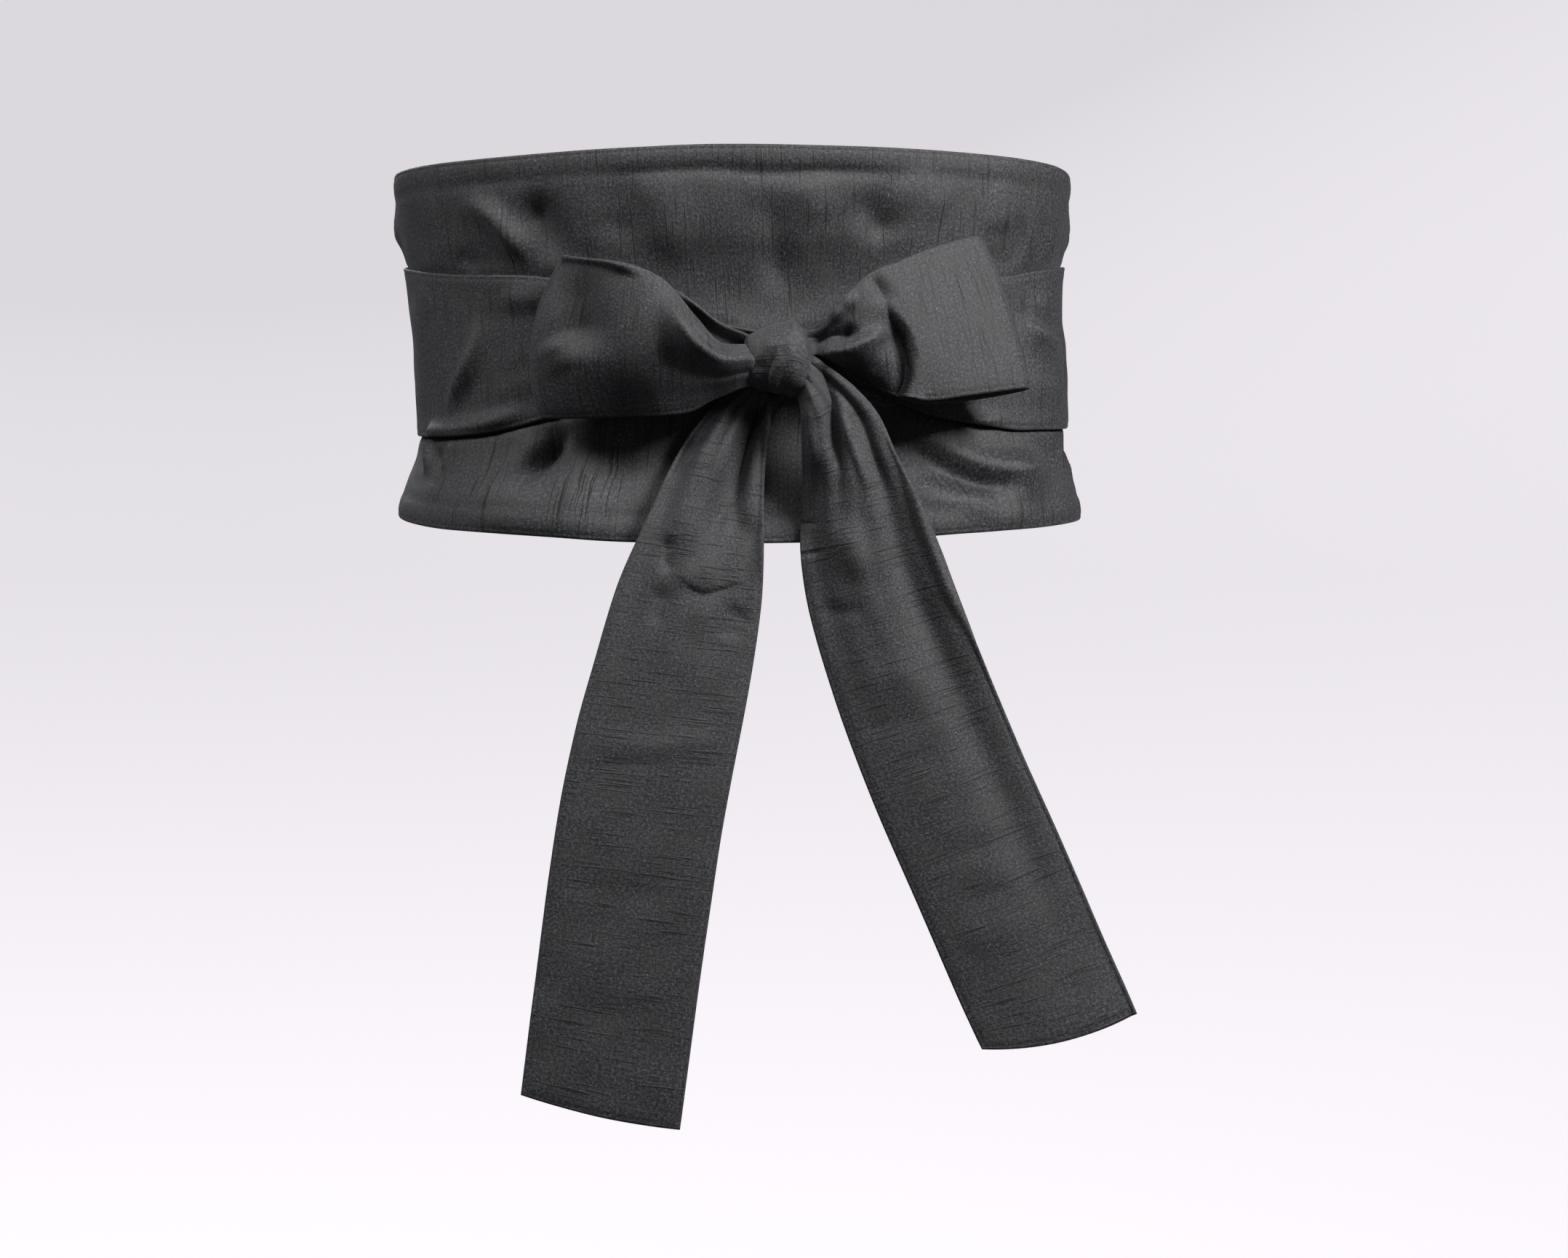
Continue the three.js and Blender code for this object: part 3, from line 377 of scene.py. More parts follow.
LOOP_RIGHT_BACK = (
    Crease(((32, -4), (48, -2), (66, 6)), 4, 1.4, 0.3, 0.0, "last"),
    Crease(((40, -12), (54, -14), (74, -12)), 5, -1.4, 0.2, 0.0, "last"),
)
TAIL_LEFT_CREASES = (
    Crease(((9, -30), (5, -42), (2, -52), (-2, -62), (-6, -74), (-9, -88)), 4.6, -4.6, 0.2, 0.3, "last"),
    Crease(((1, -28), (-6, -42), (-12, -55), (-17, -72), (-19, -86)), 6.5, 2.2, 0.0),
    Crease(((-14, -36), (-19, -46), (-22, -58)), 3.4, -1.4, 0.2),
    Crease(((11, -44), (8, -60), (6, -76)), 3.6, 1.6, 0.1),
    Crease(((14, -24), (13.3, -40), (12.4, -60), (11.4, -80), (10.6, -96)), 2.0, 2.8, 0.0, 0.0, "last"),
    Crease(((-9, -26), (-14, -33), (-20, -42), (-26, -55), (-30, -66)), 1.5, 1.7, 0.0, 0.0, "last"),
    Crease(((-22, -74), (-24, -82), (-23.5, -90)), 2.6, -1.5, 0.2),
    Crease(((-22, -88), (-14, -90), (-4, -88)), 5.0, 0.8, 0.0),
    Crease(((-24, -92), (-27, -100), (-28, -110)), 4.0, -0.9, 0.0),
    Crease(((4, -100), (0, -106), (-2, -114)), 5, -1.1, 0.0),
    Crease(((-44, -133), (-28, -129), (-8, -131)), 6.5, -0.35, 0.0),
    Crease(((-52, -149), (-30, -152), (-2, -148)), 4.6, 0.5, 0.1),
    Crease(((-56, -161), (-38, -158), (-18, -161)), 3.2, -0.25, 0.2),
    Crease(((-54, -184), (-40, -189), (-22, -187)), 8.0, 0.4, 0.0),
    Crease(((-66, -206), (-46, -204), (-16, -209)), 5.0, -0.4, 0.1),
    Crease(((-66, -233), (-52, -230), (-36, -231)), 8.0, 0.35, 0.0),
    Crease(((-72, -246), (-48, -250), (-20, -246)), 5.0, -0.3, 0.1),
)
TAIL_LEFT_STEPS = (
    Step(((6, -91.4), (1, -92), (-5, -93.8), (-10, -95), (-15, -93), (-20, -89)), 0.7, 5.0, 0.9),
)
TAIL_RIGHT_CREASES = (
    Crease(((29.5, -13), (28.6, -24), (28.2, -34), (30.5, -46), (35, -60)), 4.8, 4.0, 0.15, 0.0, "last"),
    Crease(((22, -38), (23, -52), (24.5, -66), (25, -84)), 4.4, -4.0, 0.1),
    Crease(((20, -70.9), (27, -70.6), (34, -70.2)), 0.9, -0.7, 0.6),
    Crease(((21, -82.4), (28, -81.6), (36, -80)), 0.9, -0.6, 0.6),
    Crease(((33, -15), (35.6, -24), (37, -32), (38, -42), (41, -54)), 2.6, -3.6, 0.2, 0.0, "last"),
    Crease(((38.6, -24), (41, -33), (43.6, -41), (47, -50), (50, -60)), 1.7, 1.9, 0.4),
    Crease(((41, -26), (48, -38), (54, -56), (60, -78), (72, -110), (90, -150), (108, -192), (124, -232)),
           7.5, -3.0, 0.0),
    Crease(((31, -12), (45, -22.4), (52, -31), (60, -45), (66.4, -60), (72, -76), (80, -96), (92, -119),
            (112, -164), (131, -209), (151, -254)), 1.8, 1.2, 0.0, 0.0, "none"),
    Crease(((40, -66), (44, -80), (50, -94)), 6.0, 1.5, 0.0),
    Crease(((30, -100), (40, -103), (52, -100)), 3.6, -0.6, 0.2),
    Crease(((38, -128), (54, -128), (72, -122)), 6.5, 0.5, 0.0),
    Crease(((44, -147), (58, -144), (74, -141)), 3.6, -0.35, 0.2),
    Crease(((60, -166), (74, -163), (88, -158)), 6.0, 0.4, 0.0),
    Crease(((70, -196), (86, -190), (100, -186)), 4.6, -0.4, 0.1),
    Crease(((82, -226), (96, -219), (108, -216)), 7.0, 0.5, 0.0),
    Crease(((84, -212), (94, -206), (106, -204)), 3.4, -0.3, 0.1),
)


# ------------------------------------------------------------------ curves, surfaces and folds
def mix(a, b, t):
    """a where t is 0 and b where it is 1."""
    return a + (b - a) * t


def smooth(t):
    """A soft step from 0 to 1 as t goes from 0 to 1."""
    t = np.clip(t, 0, 1)
    return t * t * (3 - 2 * t)


def between(rows, name, place):
    """One column at places between its rows, on a smooth curve that doesn't overshoot."""
    y = rows[name]
    step = np.diff(y)
    product = step[:-1] * step[1:]
    total = np.where(product > 0, step[:-1] + step[1:], 1)
    slope = np.concatenate([[0], np.where(product > 0, 2 * product / total, 0), [0]])
    i = np.clip(np.floor(place).astype(int), 0, len(y) - 2)
    t = np.clip(place - i, 0, 1)
    first = y[i] * (2 * t**3 - 3 * t**2 + 1) + slope[i] * (t**3 - 2 * t**2 + t)
    return first + y[i + 1] * (3 * t**2 - 2 * t**3) + slope[i + 1] * (t**3 - t**2)


def place_of(rows, name, value):
    """The places between the rows where a rising column has these values."""
    y = rows[name]
    value = np.clip(value, y[0], y[-1])
    low = np.clip(np.searchsorted(y, value, side="right") - 1, 0, len(y) - 2).astype(float)
    high = low + 1
    for _ in range(26):
        middle = (low + high) / 2
        under = between(rows, name, middle) < value
        low, high = np.where(under, middle, low), np.where(under, high, middle)
    return (low + high) / 2


def figure_point(phi, z, out):
    """The point out mm from the panel's inner face, phi degrees from the centre front, at height z."""
    place = place_of(FIGURE, "z", z)
    s, c = np.sin(np.radians(phi)), np.cos(np.radians(phi))
    back = smooth(0.5 - 0.9 * c)
    deep = mix(between(FIGURE, "front", place), between(FIGURE, "back", place), back) + out
    wide = between(FIGURE, "half", place) + out
    share = (np.abs(s) / wide) ** ROUNDNESS + (np.abs(c) / deep) ** ROUNDNESS
    r = share ** (-1 / ROUNDNESS)
    return np.stack([between(FIGURE, "lean", place) + r * s, -r * c, z], axis=-1)


def smooth_path(points, per_leg=6):
    """Points along a rounded curve through the given ones."""
    p = np.array(points, float)
    p = np.vstack([2 * p[0] - p[1], p, 2 * p[-1] - p[-2]])
    found = []
    for i in range(1, len(p) - 2):
        for t in np.linspace(0, 1, per_leg, endpoint=False):
            a, b, c, d = p[i - 1 : i + 3]
            square, cube = 2 * a - 5 * b + 4 * c - d, 3 * b - a - 3 * c + d
            found.append(0.5 * (2 * b + (c - a) * t + square * t**2 + cube * t**3))
    return np.array(found + [p[-2]])


def nearest_on_path(path, s, t):
    """Each point's distance from a path, how far along it that is (0 to 1), and 1 on its left."""
    nearest = np.full(np.broadcast(s, t).shape, np.inf)
    along, side = np.zeros(nearest.shape), np.ones(nearest.shape)
    legs = np.hypot(*np.diff(path, axis=0).T)
    run = np.concatenate([[0], np.cumsum(legs)])
    for i, leg in enumerate(legs):
        way = (path[i + 1] - path[i]) / max(leg, 1e-9)
        ds, dt = s - path[i][0], t - path[i][1]
        reach = np.clip(ds * way[0] + dt * way[1], 0, leg)
        ds, dt = ds - reach * way[0], dt - reach * way[1]
        gap = np.hypot(ds, dt)
        better = gap < nearest
        nearest = np.where(better, gap, nearest)
        along = np.where(better, (run[i] + reach) / run[-1], along)
        side = np.where(better, np.sign(way[0] * dt - way[1] * ds), side)
    return nearest, along, side


def dying_away(along, ends):
    """1 along a crease, falling to 0 at the ends where it dies away."""
    last = smooth((1 - along) / CREASE_FADE) if ends in ("both", "last") else 1
    first = smooth(along / CREASE_FADE) if ends in ("both", "first") else 1
    return last * first


def crease_lift(creases, s, t, to_mm=lambda a, b: (a, b)):
    """How far the creases lift the cloth at (s, t) mm. to_mm turns a path's points into mm."""
    lift = np.zeros(np.broadcast(s, t).shape)
    for crease in creases:
        path = smooth_path([to_mm(*point) for point in crease.path])
        nearest, along, side = nearest_on_path(path, s, t)
        q = nearest / crease.half * (1 + crease.tilt * side * (1 - np.exp(-((nearest / 1.5) ** 2))))
        soft = np.exp(-q * q)
        sharp = np.exp(-2 * (np.sqrt(q * q + 0.03) - math.sqrt(0.03)))
        # Each crease is deeper in one place than in another, and no two are alike.
        uneven = 1 + 0.2 * np.sin(along * 7.3 + 5.1 * crease.path[0][0] + 2.3 * crease.half)
        lift += crease.depth * dying_away(along, crease.ends) * uneven * mix(soft, sharp, crease.crisp)
    return lift


def step_lift(steps, s, t):
    """How far the edges of folds drop the cloth beside them."""
    lift = np.zeros(np.broadcast(s, t).shape)
    for step in steps:
        nearest, along, side = nearest_on_path(smooth_path(step.path), s, t)
        drop = smooth(nearest / step.short) * np.exp(-((nearest / step.long) ** 2))
        lift -= step.depth * dying_away(along, step.ends) * np.where(side > 0, drop, 0)
    return lift


def undulate(s, t, seed, wave, stretch=1.0):
    """An uneven swell over the cloth, roughly from -1 to 1 and about wave mm from crest to crest."""
    random = np.random.default_rng(seed)
    total = np.zeros(np.broadcast(s, t).shape)
    weights = 0
    for _ in range(14):
        angle, phase = random.uniform(0, math.pi), random.uniform(0, 2 * math.pi)
        length = wave * random.uniform(0.6, 1.9)
        weight = length / wave
        total += weight * np.sin(
            2 * math.pi * (s * math.cos(angle) + t * math.sin(angle) / stretch) / length + phase
        )
        weights += weight
    return total / weights * 2.4


def pleats(across, drift=0.0):
    """Lengthwise pleats of a gathered tie, from -1 to 1. across runs from -1 to 1."""
    wide = 0.5 * np.cos(1.5 * np.pi * (across + 0.12))
    narrow = 0.32 * np.cos(3 * np.pi * (across - 0.2) + drift)
    return wide + narrow + 0.18 * np.cos(5.2 * np.pi * (across + 0.1) - 1.7 * drift)


# ------------------------------------------------------------------ cloth walls
EDGE_STEPS = (0.0, 0.2, 0.5, 0.85, 1.2, 1.55, 1.9, 2.4, 3.1, 4.2)  # mm in from a sewn edge


def across_positions(half, middle):
    """Columns across a strip, close together near both edges, and their distance from the edge."""
    scale = np.minimum(1, half / 8)[:, None]
    near = np.array(EDGE_STEPS)[None, :] * scale
    inner = half[:, None] - near[:, -1:]
    core = np.linspace(-1, 1, middle + 2)[None, 1:-1] * inner
    left = -half[:, None] + near
    t = np.concatenate([left, core, -left[:, ::-1]], axis=1)
    return t / half[:, None], (half[:, None] - np.abs(t)) / scale


def edge_profile(inset, wall):
    """Half the wall near a sewn and turned edge: a rounded lip, a pressed line, then the cloth."""
    radius = wall * 0.5
    lip = np.sqrt(np.clip(1 - (1 - np.clip(inset / radius, 0, 1)) ** 2, 0.14, 1))
    pressed = 0.1 * np.exp(-(((inset - 1.5) / 0.5) ** 2))
    return wall / 2 * (lip * mix(0.68, 1, smooth(inset / 4)) - pressed)


def grid_normals(points, side):
    """The direction out of a grid of points. side is 1 or -1, whichever turns it outwards."""
    along = np.gradient(points, axis=0)
    over = np.gradient(points, axis=1)
    normal = np.cross(over, along) * side
    return normal / np.maximum(np.linalg.norm(normal, axis=-1, keepdims=True), 1e-12)


Cloth = namedtuple("Cloth", "outer inner uv")


def cloth_layers(middle, lift, half_wall, side, s, t):
    """The two faces of a wall of cloth, in mm, and where each point lies on the flat cloth."""
    lifted = middle + grid_normals(middle, side) * lift[..., None]
    normal = grid_normals(lifted, side)
    offset = normal * half_wall[..., None]
    return Cloth(lifted + offset, lifted - offset, np.stack(np.broadcast_arrays(s, t), axis=-1))


def grid_quads(index):
    """The four corners of each face of a grid of point numbers."""
    corners = index[:-1, :-1], index[:-1, 1:], index[1:, 1:], index[1:, :-1]
    return np.stack(corners, axis=-1).reshape(-1, 4)


def add_object(name, data):
    """A new object in the scene."""
    made = bpy.data.objects.new(name, data)
    bpy.context.scene.collection.objects.link(made)
    return made


def closed_wall(name, cloth):
    """A closed mesh of a wall of cloth. Its rim has a lip for each face, with the seam between."""
    rows, columns = cloth.outer.shape[:2]
    count = rows * columns
    index = np.arange(count).reshape(rows, columns)
    quads = grid_quads(index)
    loop = [(0, j) for j in range(columns)] + [(i, columns - 1) for i in range(1, rows)]
    loop += [(rows - 1, j) for j in range(columns - 2, -1, -1)] + [(i, 0) for i in range(rows - 2, 0, -1)]
    seam, seam_uv = [], []
    for i, j in loop:
        inside = min(max(i, 1), rows - 2), min(max(j, 1), columns - 2)
        middle = (cloth.outer[i, j] + cloth.inner[i, j]) / 2
        inward = (cloth.outer[inside] + cloth.inner[inside]) / 2 - middle
        seam.append(middle + inward / max(np.linalg.norm(inward), 1e-9) * SEAM_INSET)
        seam_uv.append(cloth.uv[i, j])
    ring = [int(index[i, j]) for i, j in loop]
    rim = []
    for k, here in enumerate(ring):
        after = (k + 1) % len(ring)
        rim.append((here, 2 * count + k, 2 * count + after, ring[after]))
        rim.append((2 * count + k, here + count, ring[after] + count, 2 * count + after))
    points = np.concatenate([cloth.outer.reshape(-1, 3), cloth.inner.reshape(-1, 3), np.array(seam)]) * MM
    faces = quads.tolist() + (quads[:, ::-1] + count).tolist() + rim
    uv = np.concatenate([cloth.uv.reshape(-1, 2)] * 2 + [np.array(seam_uv)]) * MM
    return mesh_piece(name, points, faces, uv)


def mesh_piece(name, points, faces, uv):
    """A smooth closed mesh object at the origin, with its faces out and its flat cloth as UVs."""
    mesh = bpy.data.meshes.new(name)
    mesh.from_pydata(points.tolist(), [], faces)
    layer = mesh.uv_layers.new(name=UV_NAME)
    corners = np.empty(len(mesh.loops), dtype=np.int32)
    mesh.loops.foreach_get("vertex_index", corners)
    layer.data.foreach_set("uv", uv[corners].astype(np.float32).ravel())
    mesh.polygons.foreach_set("use_smooth", np.ones(len(mesh.polygons), dtype=bool))
    if signed_volume(mesh) < 0:
        mesh.flip_normals()
    mesh.update()
    return add_object(name, mesh)


def signed_volume(mesh):
    """A closed mesh's volume, which is negative where its faces point inwards."""
    mesh.calc_loop_triangles()
    corners = np.empty(len(mesh.loop_triangles) * 3, dtype=np.int32)
    mesh.loop_triangles.foreach_get("vertices", corners)
    points = np.empty(len(mesh.vertices) * 3, dtype=np.float32)
    mesh.vertices.foreach_get("co", points)
    a, b, c = points.reshape(-1, 3)[corners.reshape(-1, 3)].transpose(1, 0, 2).astype(float)
    return float(np.einsum("ij,ij->", a, np.cross(b, c))) / 6


# ------------------------------------------------------------------ the pieces' shapes
def round_waist(phi, z):
    """A point by degrees and height, in mm on the flat cloth."""
    return phi * MM_PER_DEGREE, z


def panel_lift(phi, z, top, bottom):
    """The panel's folds, which the ties press flat where they lie on it."""
    past_tie = []
    for rows in (WOUND_LEFT, WOUND_RIGHT):
        place = place_of(rows, "phi", 360 - np.abs(phi))
        past_tie.append(np.abs(z - between(rows, "z", place)) - between(rows, "half", place))
    clear = np.where(phi < 0, *past_tie)  # mm from the nearer edge of the tie, less than 0 under it
    s = phi * MM_PER_DEGREE
    lift = crease_lift(PANEL_CREASES, s, z, round_waist)
    lift += 0.42 * undulate(s, z, 11, 34, 1.8) + 0.1 * undulate(s, z, 12, 12)
    lift *= smooth((clear - 0.3) / 4)
    lift += crease_lift(PANEL_SWELLS, s, z, round_waist)
    # The cloth swells just past the ties, most of all below the bow.
    below = smooth((-20 - z) / 10) * smooth((90 - np.abs(phi)) / 30)
    fullness = (0.4 + 1.3 * below) * smooth(clear / 2.5) * np.exp(-((np.maximum(clear - 3, 0) / 9) ** 2))
    # The seam allowance shows through along both edges, with a dip where it ends.
    inset = np.minimum(top - z, z - bottom)
    allowance = 0.2 * smooth((8.5 - inset) / 2.4) - 0.2 * np.exp(-(((inset - 9.4) / 1.6) ** 2))
    return lift + fullness + allowance * (1 + 0.6 * undulate(s, 0, 14, 40))


def panel_cloth(columns, middle):
    """The waist panel, from one sewn end round the front to the other."""
    phi = np.linspace(-PANEL_END, PANEL_END, columns)
    place = place_of(PANEL_EDGES, "phi", phi)
    top, bottom = between(PANEL_EDGES, "top", place), between(PANEL_EDGES, "bottom", place)
    across, inset = across_positions((top - bottom) / 2, middle)
    z = ((top + bottom) / 2)[:, None] + across * ((top - bottom) / 2)[:, None]
    phi = np.broadcast_to(phi[:, None], z.shape)
    lift = panel_lift(phi, z, top[:, None], bottom[:, None])
    points = figure_point(phi, z, PANEL_WALL / 2)
    return cloth_layers(points, lift, edge_profile(inset, PANEL_WALL), -1, phi * MM_PER_DEGREE, z)


def wound_cloth(rows, way, creases, seed, columns, middle):
    """A tie's stretch round the waist. way is 1 where it comes forward at -X, and -1 at +X."""
    last = rows["phi"][-1] - 0.6  # so that the two ties stay apart inside the knot
    phi = np.linspace(PANEL_END + SEAM, last, columns)
    place = place_of(rows, "phi", phi)
    half = between(rows, "half", place)
    across, inset = across_positions(half, middle)
    z = between(rows, "z", place)[:, None] + across * half[:, None]
    turned = np.broadcast_to(phi[:, None], z.shape)
    angle = way * np.where(turned > 180, turned - 360, turned)
    out = between(rows, "out", place)[:, None] + TIE_WALL / 2
    points = figure_point(angle, z, np.broadcast_to(out, z.shape))
    s, cloth_t = turned * MM_PER_DEGREE, across * TIE_HALF
    gather = between(rows, "gather", place)[:, None]
    lift = gather * (0.5 + 0.5 * pleats(across, 0.8 * np.sin(s / 23)))
    folds = crease_lift(creases, angle * MM_PER_DEGREE, z, round_waist)
    # Folds start past the crossing at the back and end at the knot.
    past_back = smooth((turned - 360 + PANEL_END) / 12) * smooth((turned - 200) / 20)
    free = past_back * smooth((last - turned) / 8)
    lift = lift + free * (folds + 0.3 * undulate(s, z, seed, 22))
    lift = np.maximum(lift, -DEEPEST_SINK)
    return cloth_layers(points, lift, edge_profile(inset, TIE_WALL), -way, s, cloth_t)


def ribbon_cloth(rows, front, back, steps, side, seed, columns, middle, turns_at=None, hem=False):
    """A free stretch of tie, with creases on its front and, past turns_at, others on its back."""
    last = len(rows["x"]) - 1
    share = np.linspace(0, 1, columns)
    if hem:
        share = np.sort(np.concatenate([share, 1 - np.array(EDGE_STEPS[1:]) / TAIL_RUN]))
    row = {name: between(rows, name, share * last)[:, None] for name in rows}
    across, inset = across_positions(row["half"][:, 0], middle)
    lean, turn = np.radians(row["lean"]), np.radians(row["turn"])
    way = np.stack([np.cos(lean) * np.cos(turn), np.sin(turn), np.sin(lean) * np.cos(turn)], axis=-1)
    centre = np.stack([row["x"], row["y"], row["z"]], axis=-1)
    points = centre + way * (across * row["half"])[..., None]
    points[..., 0] += row["swell"] * across**2
    points[..., 2] += row["drop"] * (across**2 - 1)
    run = np.concatenate([[0], np.cumsum(np.linalg.norm(np.diff(centre[:, 0], axis=0), axis=-1))])[:, None]
    s, t = np.broadcast_to(run, across.shape), across * row["half"]
    lift = row["bow"] * (1 - across**2) + row["gather"] * pleats(across, 0.7 * np.sin(s / 17))
    in_front = 1 if turns_at is None else smooth((turns_at - share) / TURN_SHARE)[:, None]
    x, z = points[..., 0], points[..., 2]
    lift += in_front * (crease_lift(front, x, z) + step_lift(steps, x, z))
    if turns_at is not None:
        lift += smooth((share - turns_at) / TURN_SHARE)[:, None] * crease_lift(back, x, z)
    lift += 0.2 * undulate(s, t, seed, 20)
    half_wall = edge_profile(inset, TIE_WALL)
    if hem:
        half_wall = np.minimum(half_wall, edge_profile(run[-1] - run, TIE_WALL))
    return cloth_layers(points, lift, half_wall, side, run, across * TIE_HALF)


def knot_mesh(name, around=150, along=120):
    """The tie wrapped over itself. Its right part lies over its left part at a fold in front."""
    place = np.linspace(0, len(KNOT["x"]) - 1, along)
    theta = np.linspace(0, 2 * np.pi, around, endpoint=False)[None, :]
    row = {column: between(KNOT, column, place)[:, None] for column in KNOT}
    up = np.sign(np.sin(theta)) * np.abs(np.sin(theta)) ** KNOT_SQUARENESS
    front = np.sign(np.cos(theta)) * np.abs(np.cos(theta)) ** KNOT_SQUARENESS
    x = np.broadcast_to(row["x"], (along, around))
    z = (row["high"] + row["low"]) / 2 + up * (row["high"] - row["low"]) / 2
    facing = smooth((front + 0.1) / 0.5)
    body = smooth(place / 1.5)[:, None] * smooth((len(KNOT["x"]) - 1 - place) / 1.5)[:, None]
    swell = facing * (step_lift(KNOT_STEPS, x, z) + crease_lift(KNOT_CREASES, x, z))
    swell = body * (swell + 0.25 * undulate(theta * KNOT_ROUND, x, 31, 9))
    swell = swell + (1 - facing) * body * 0.25 * np.cos(2 * np.pi * x / KNOT_RIPPLE)
    points = np.stack([x, KNOT_Y - front * (row["deep"] + swell), z + up * swell], axis=-1).reshape(-1, 3)
    index = np.arange(along * around).reshape(along, around)
    after = np.roll(index, -1, axis=1)
    quads = np.stack([index[:-1], after[:-1], after[1:], index[1:]], axis=-1).reshape(-1, 4).tolist()
    faces = quads + [index[0].tolist()[::-1], index[-1].tolist()]
    uv = np.stack(np.broadcast_arrays(theta * KNOT_ROUND, x), axis=-1).reshape(-1, 2)
    return mesh_piece(name, points * MM, faces, uv * MM)


# ------------------------------------------------------------------ nodes and materials
def linear(hex_colour):
    """An sRGB hex colour as linear RGBA."""
    parts = [int(hex_colour[i : i + 2], 16) / 255 for i in (1, 3, 5)]
    return tuple(c / 12.92 if c <= 0.04045 else ((c + 0.055) / 1.055) ** 2.4 for c in parts) + (1.0,)


def add_node(tree, kind, links=None, **settings):
    """Adds a node, sets it up, and links or fills its inputs, which go by name or by number."""
    node = tree.nodes.new(kind)
    for key, value in settings.items():
        setattr(node, key, value)
    for socket, value in (links or {}).items():
        if isinstance(value, bpy.types.NodeSocket):
            tree.links.new(value, node.inputs[socket])
        else:
            node.inputs[socket].default_value = value
    return node


def new_material(name):
    """A material with no nodes, and what adds a node to it."""
    material = bpy.data.materials.new(name)
    material.use_nodes = True
    material.node_tree.nodes.clear()
    return material, partial(add_node, material.node_tree)


# The cloth's patterns, each a noise on the flat cloth: the size of its spots in mm along and across the
# tie, its detail, its roughness and its shift. The real threads lie about 0.2 mm apart, so streak, slub,
# grain and the painted glints, which follow single threads, are drawn about 1 mm wide, coarse enough to
# show.
PATTERNS = {
    "streak": (1.0, 16, 3, 0.5, 0),  # each weft thread is a little thicker or thinner
    "slub": (1.4, 26, 2, 0.5, 17),  # now and then a slub makes one thicker
    "grain": (1.0, 1.2, 5, 0.85, 5),  # thread crossings
    "painted_glint": (0.9, 1.1, 3, 0.8, 23),  # painted glints: pale spots in the colour where crossings would catch the light
    "mottle": (14, 11, 3, 0.5, 9),  # uneven dye
}
WEAVE_PITCH = 0.8  # mm between the drawn threads: the real 0.2 mm is too fine to show
WAVE_RADIANS = 20  # in one unit of a wave texture at scale 1


def dupioni_material(props):
    """Dupioni taffeta: crisp, plain-woven, with a dry sheen and uneven weft threads across the tie."""
    name = "dupioni_taffeta"
    if name in bpy.data.materials:
        return bpy.data.materials[name]
    material, add = new_material(name)
    uv = add("ShaderNodeUVMap", uv_map=UV_NAME).outputs[0]
    noise = {}
    for pattern, (along, across, detail, rough, shift) in PATTERNS.items():
        scaled = add(
            "ShaderNodeVectorMath",
            {0: uv, 1: (1 / (along * MM), 1 / (across * MM), 1), 2: (shift, shift * 0.7, shift)},
            operation="MULTIPLY_ADD",
        )
        links = {"Vector": scaled.outputs[0], "Scale": 1.0, "Detail": detail, "Roughness": rough}
        noise[pattern] = add("ShaderNodeTexNoise", links).outputs["Fac"]
    # Where a pattern goes from low to high, its shade is laid on more and more, up to most.
    colour = linear("#151517")
    for pattern, low, high, most, shade in (
        ("streak", 0.38, 0.6, 1, tuple(props.cloth_colour) + (1,)),
        ("grain", 0.48, 0.68, 1, linear("#5f5c63")),
        ("grain", 0.5, 0.34, 1, linear("#08080a")),
        # Painted highlights: pale glints laid into the colour where thread crossings would catch the light.
        ("painted_glint", 0.62, 0.72, 0.7, linear("#a6a3a9")),
        ("mottle", 0.4, 0.66, 0.35, linear("#2f2f29")),
    ):
        share = add("ShaderNodeMapRange", {0: noise[pattern], 1: low, 2: high, 3: 0, 4: most})
        links = {0: share.outputs[0], 6: colour, 7: shade}
        colour = add("ShaderNodeMix", links, data_type="RGBA").outputs[2]
    slub = add("ShaderNodeMapRange", {0: noise["slub"], 1: 0.58, 2: 0.7, 3: 0, 4: 1}).outputs[0]
    links = {0: slub, 6: colour, 7: linear("#131315")}
    colour = add("ShaderNodeMix", links, data_type="RGBA").outputs[2]
    dry = props.cloth_roughness
    links = {0: noise["grain"], 1: 0.35, 2: 0.65, 3: dry - 0.06, 4: dry + 0.12}
    rough = add("ShaderNodeMapRange", links).outputs[0]
    scale = 2 * math.pi / (WAVE_RADIANS * WEAVE_PITCH * MM)
    threads = []
    for bands, distortion in (("X", 1.5), ("Y", 1.0)):
        links = {"Vector": uv, "Scale": scale, "Distortion": distortion}
        threads.append(add("ShaderNodeTexWave", links, bands_direction=bands).outputs["Fac"])
    weave = add("ShaderNodeMath", {0: threads[0], 1: threads[1]}, operation="MULTIPLY").outputs[0]
    bump = {}
    for height, depth, strength in (  # depth in mm
        (weave, 0.05, 0.3),
        (noise["grain"], 0.5, 0.65),
        (noise["streak"], 0.3, 0.2),
        (slub, 0.3, 0.3),
    ):
        links = {"Height": height, "Distance": depth * MM, "Strength": strength, **bump}
        bump = {"Normal": add("ShaderNodeBump", links).outputs[0]}
    links = {"Base Color": colour, "Roughness": rough, "IOR": 1.52, **bump}
    links |= {"Sheen Weight": 0.16, "Sheen Roughness": 0.4, "Sheen Tint": linear("#d8d8de")}
    shader = add("ShaderNodeBsdfPrincipled", links)
    add("ShaderNodeOutputMaterial", {"Surface": shader.outputs[0]})
    return material


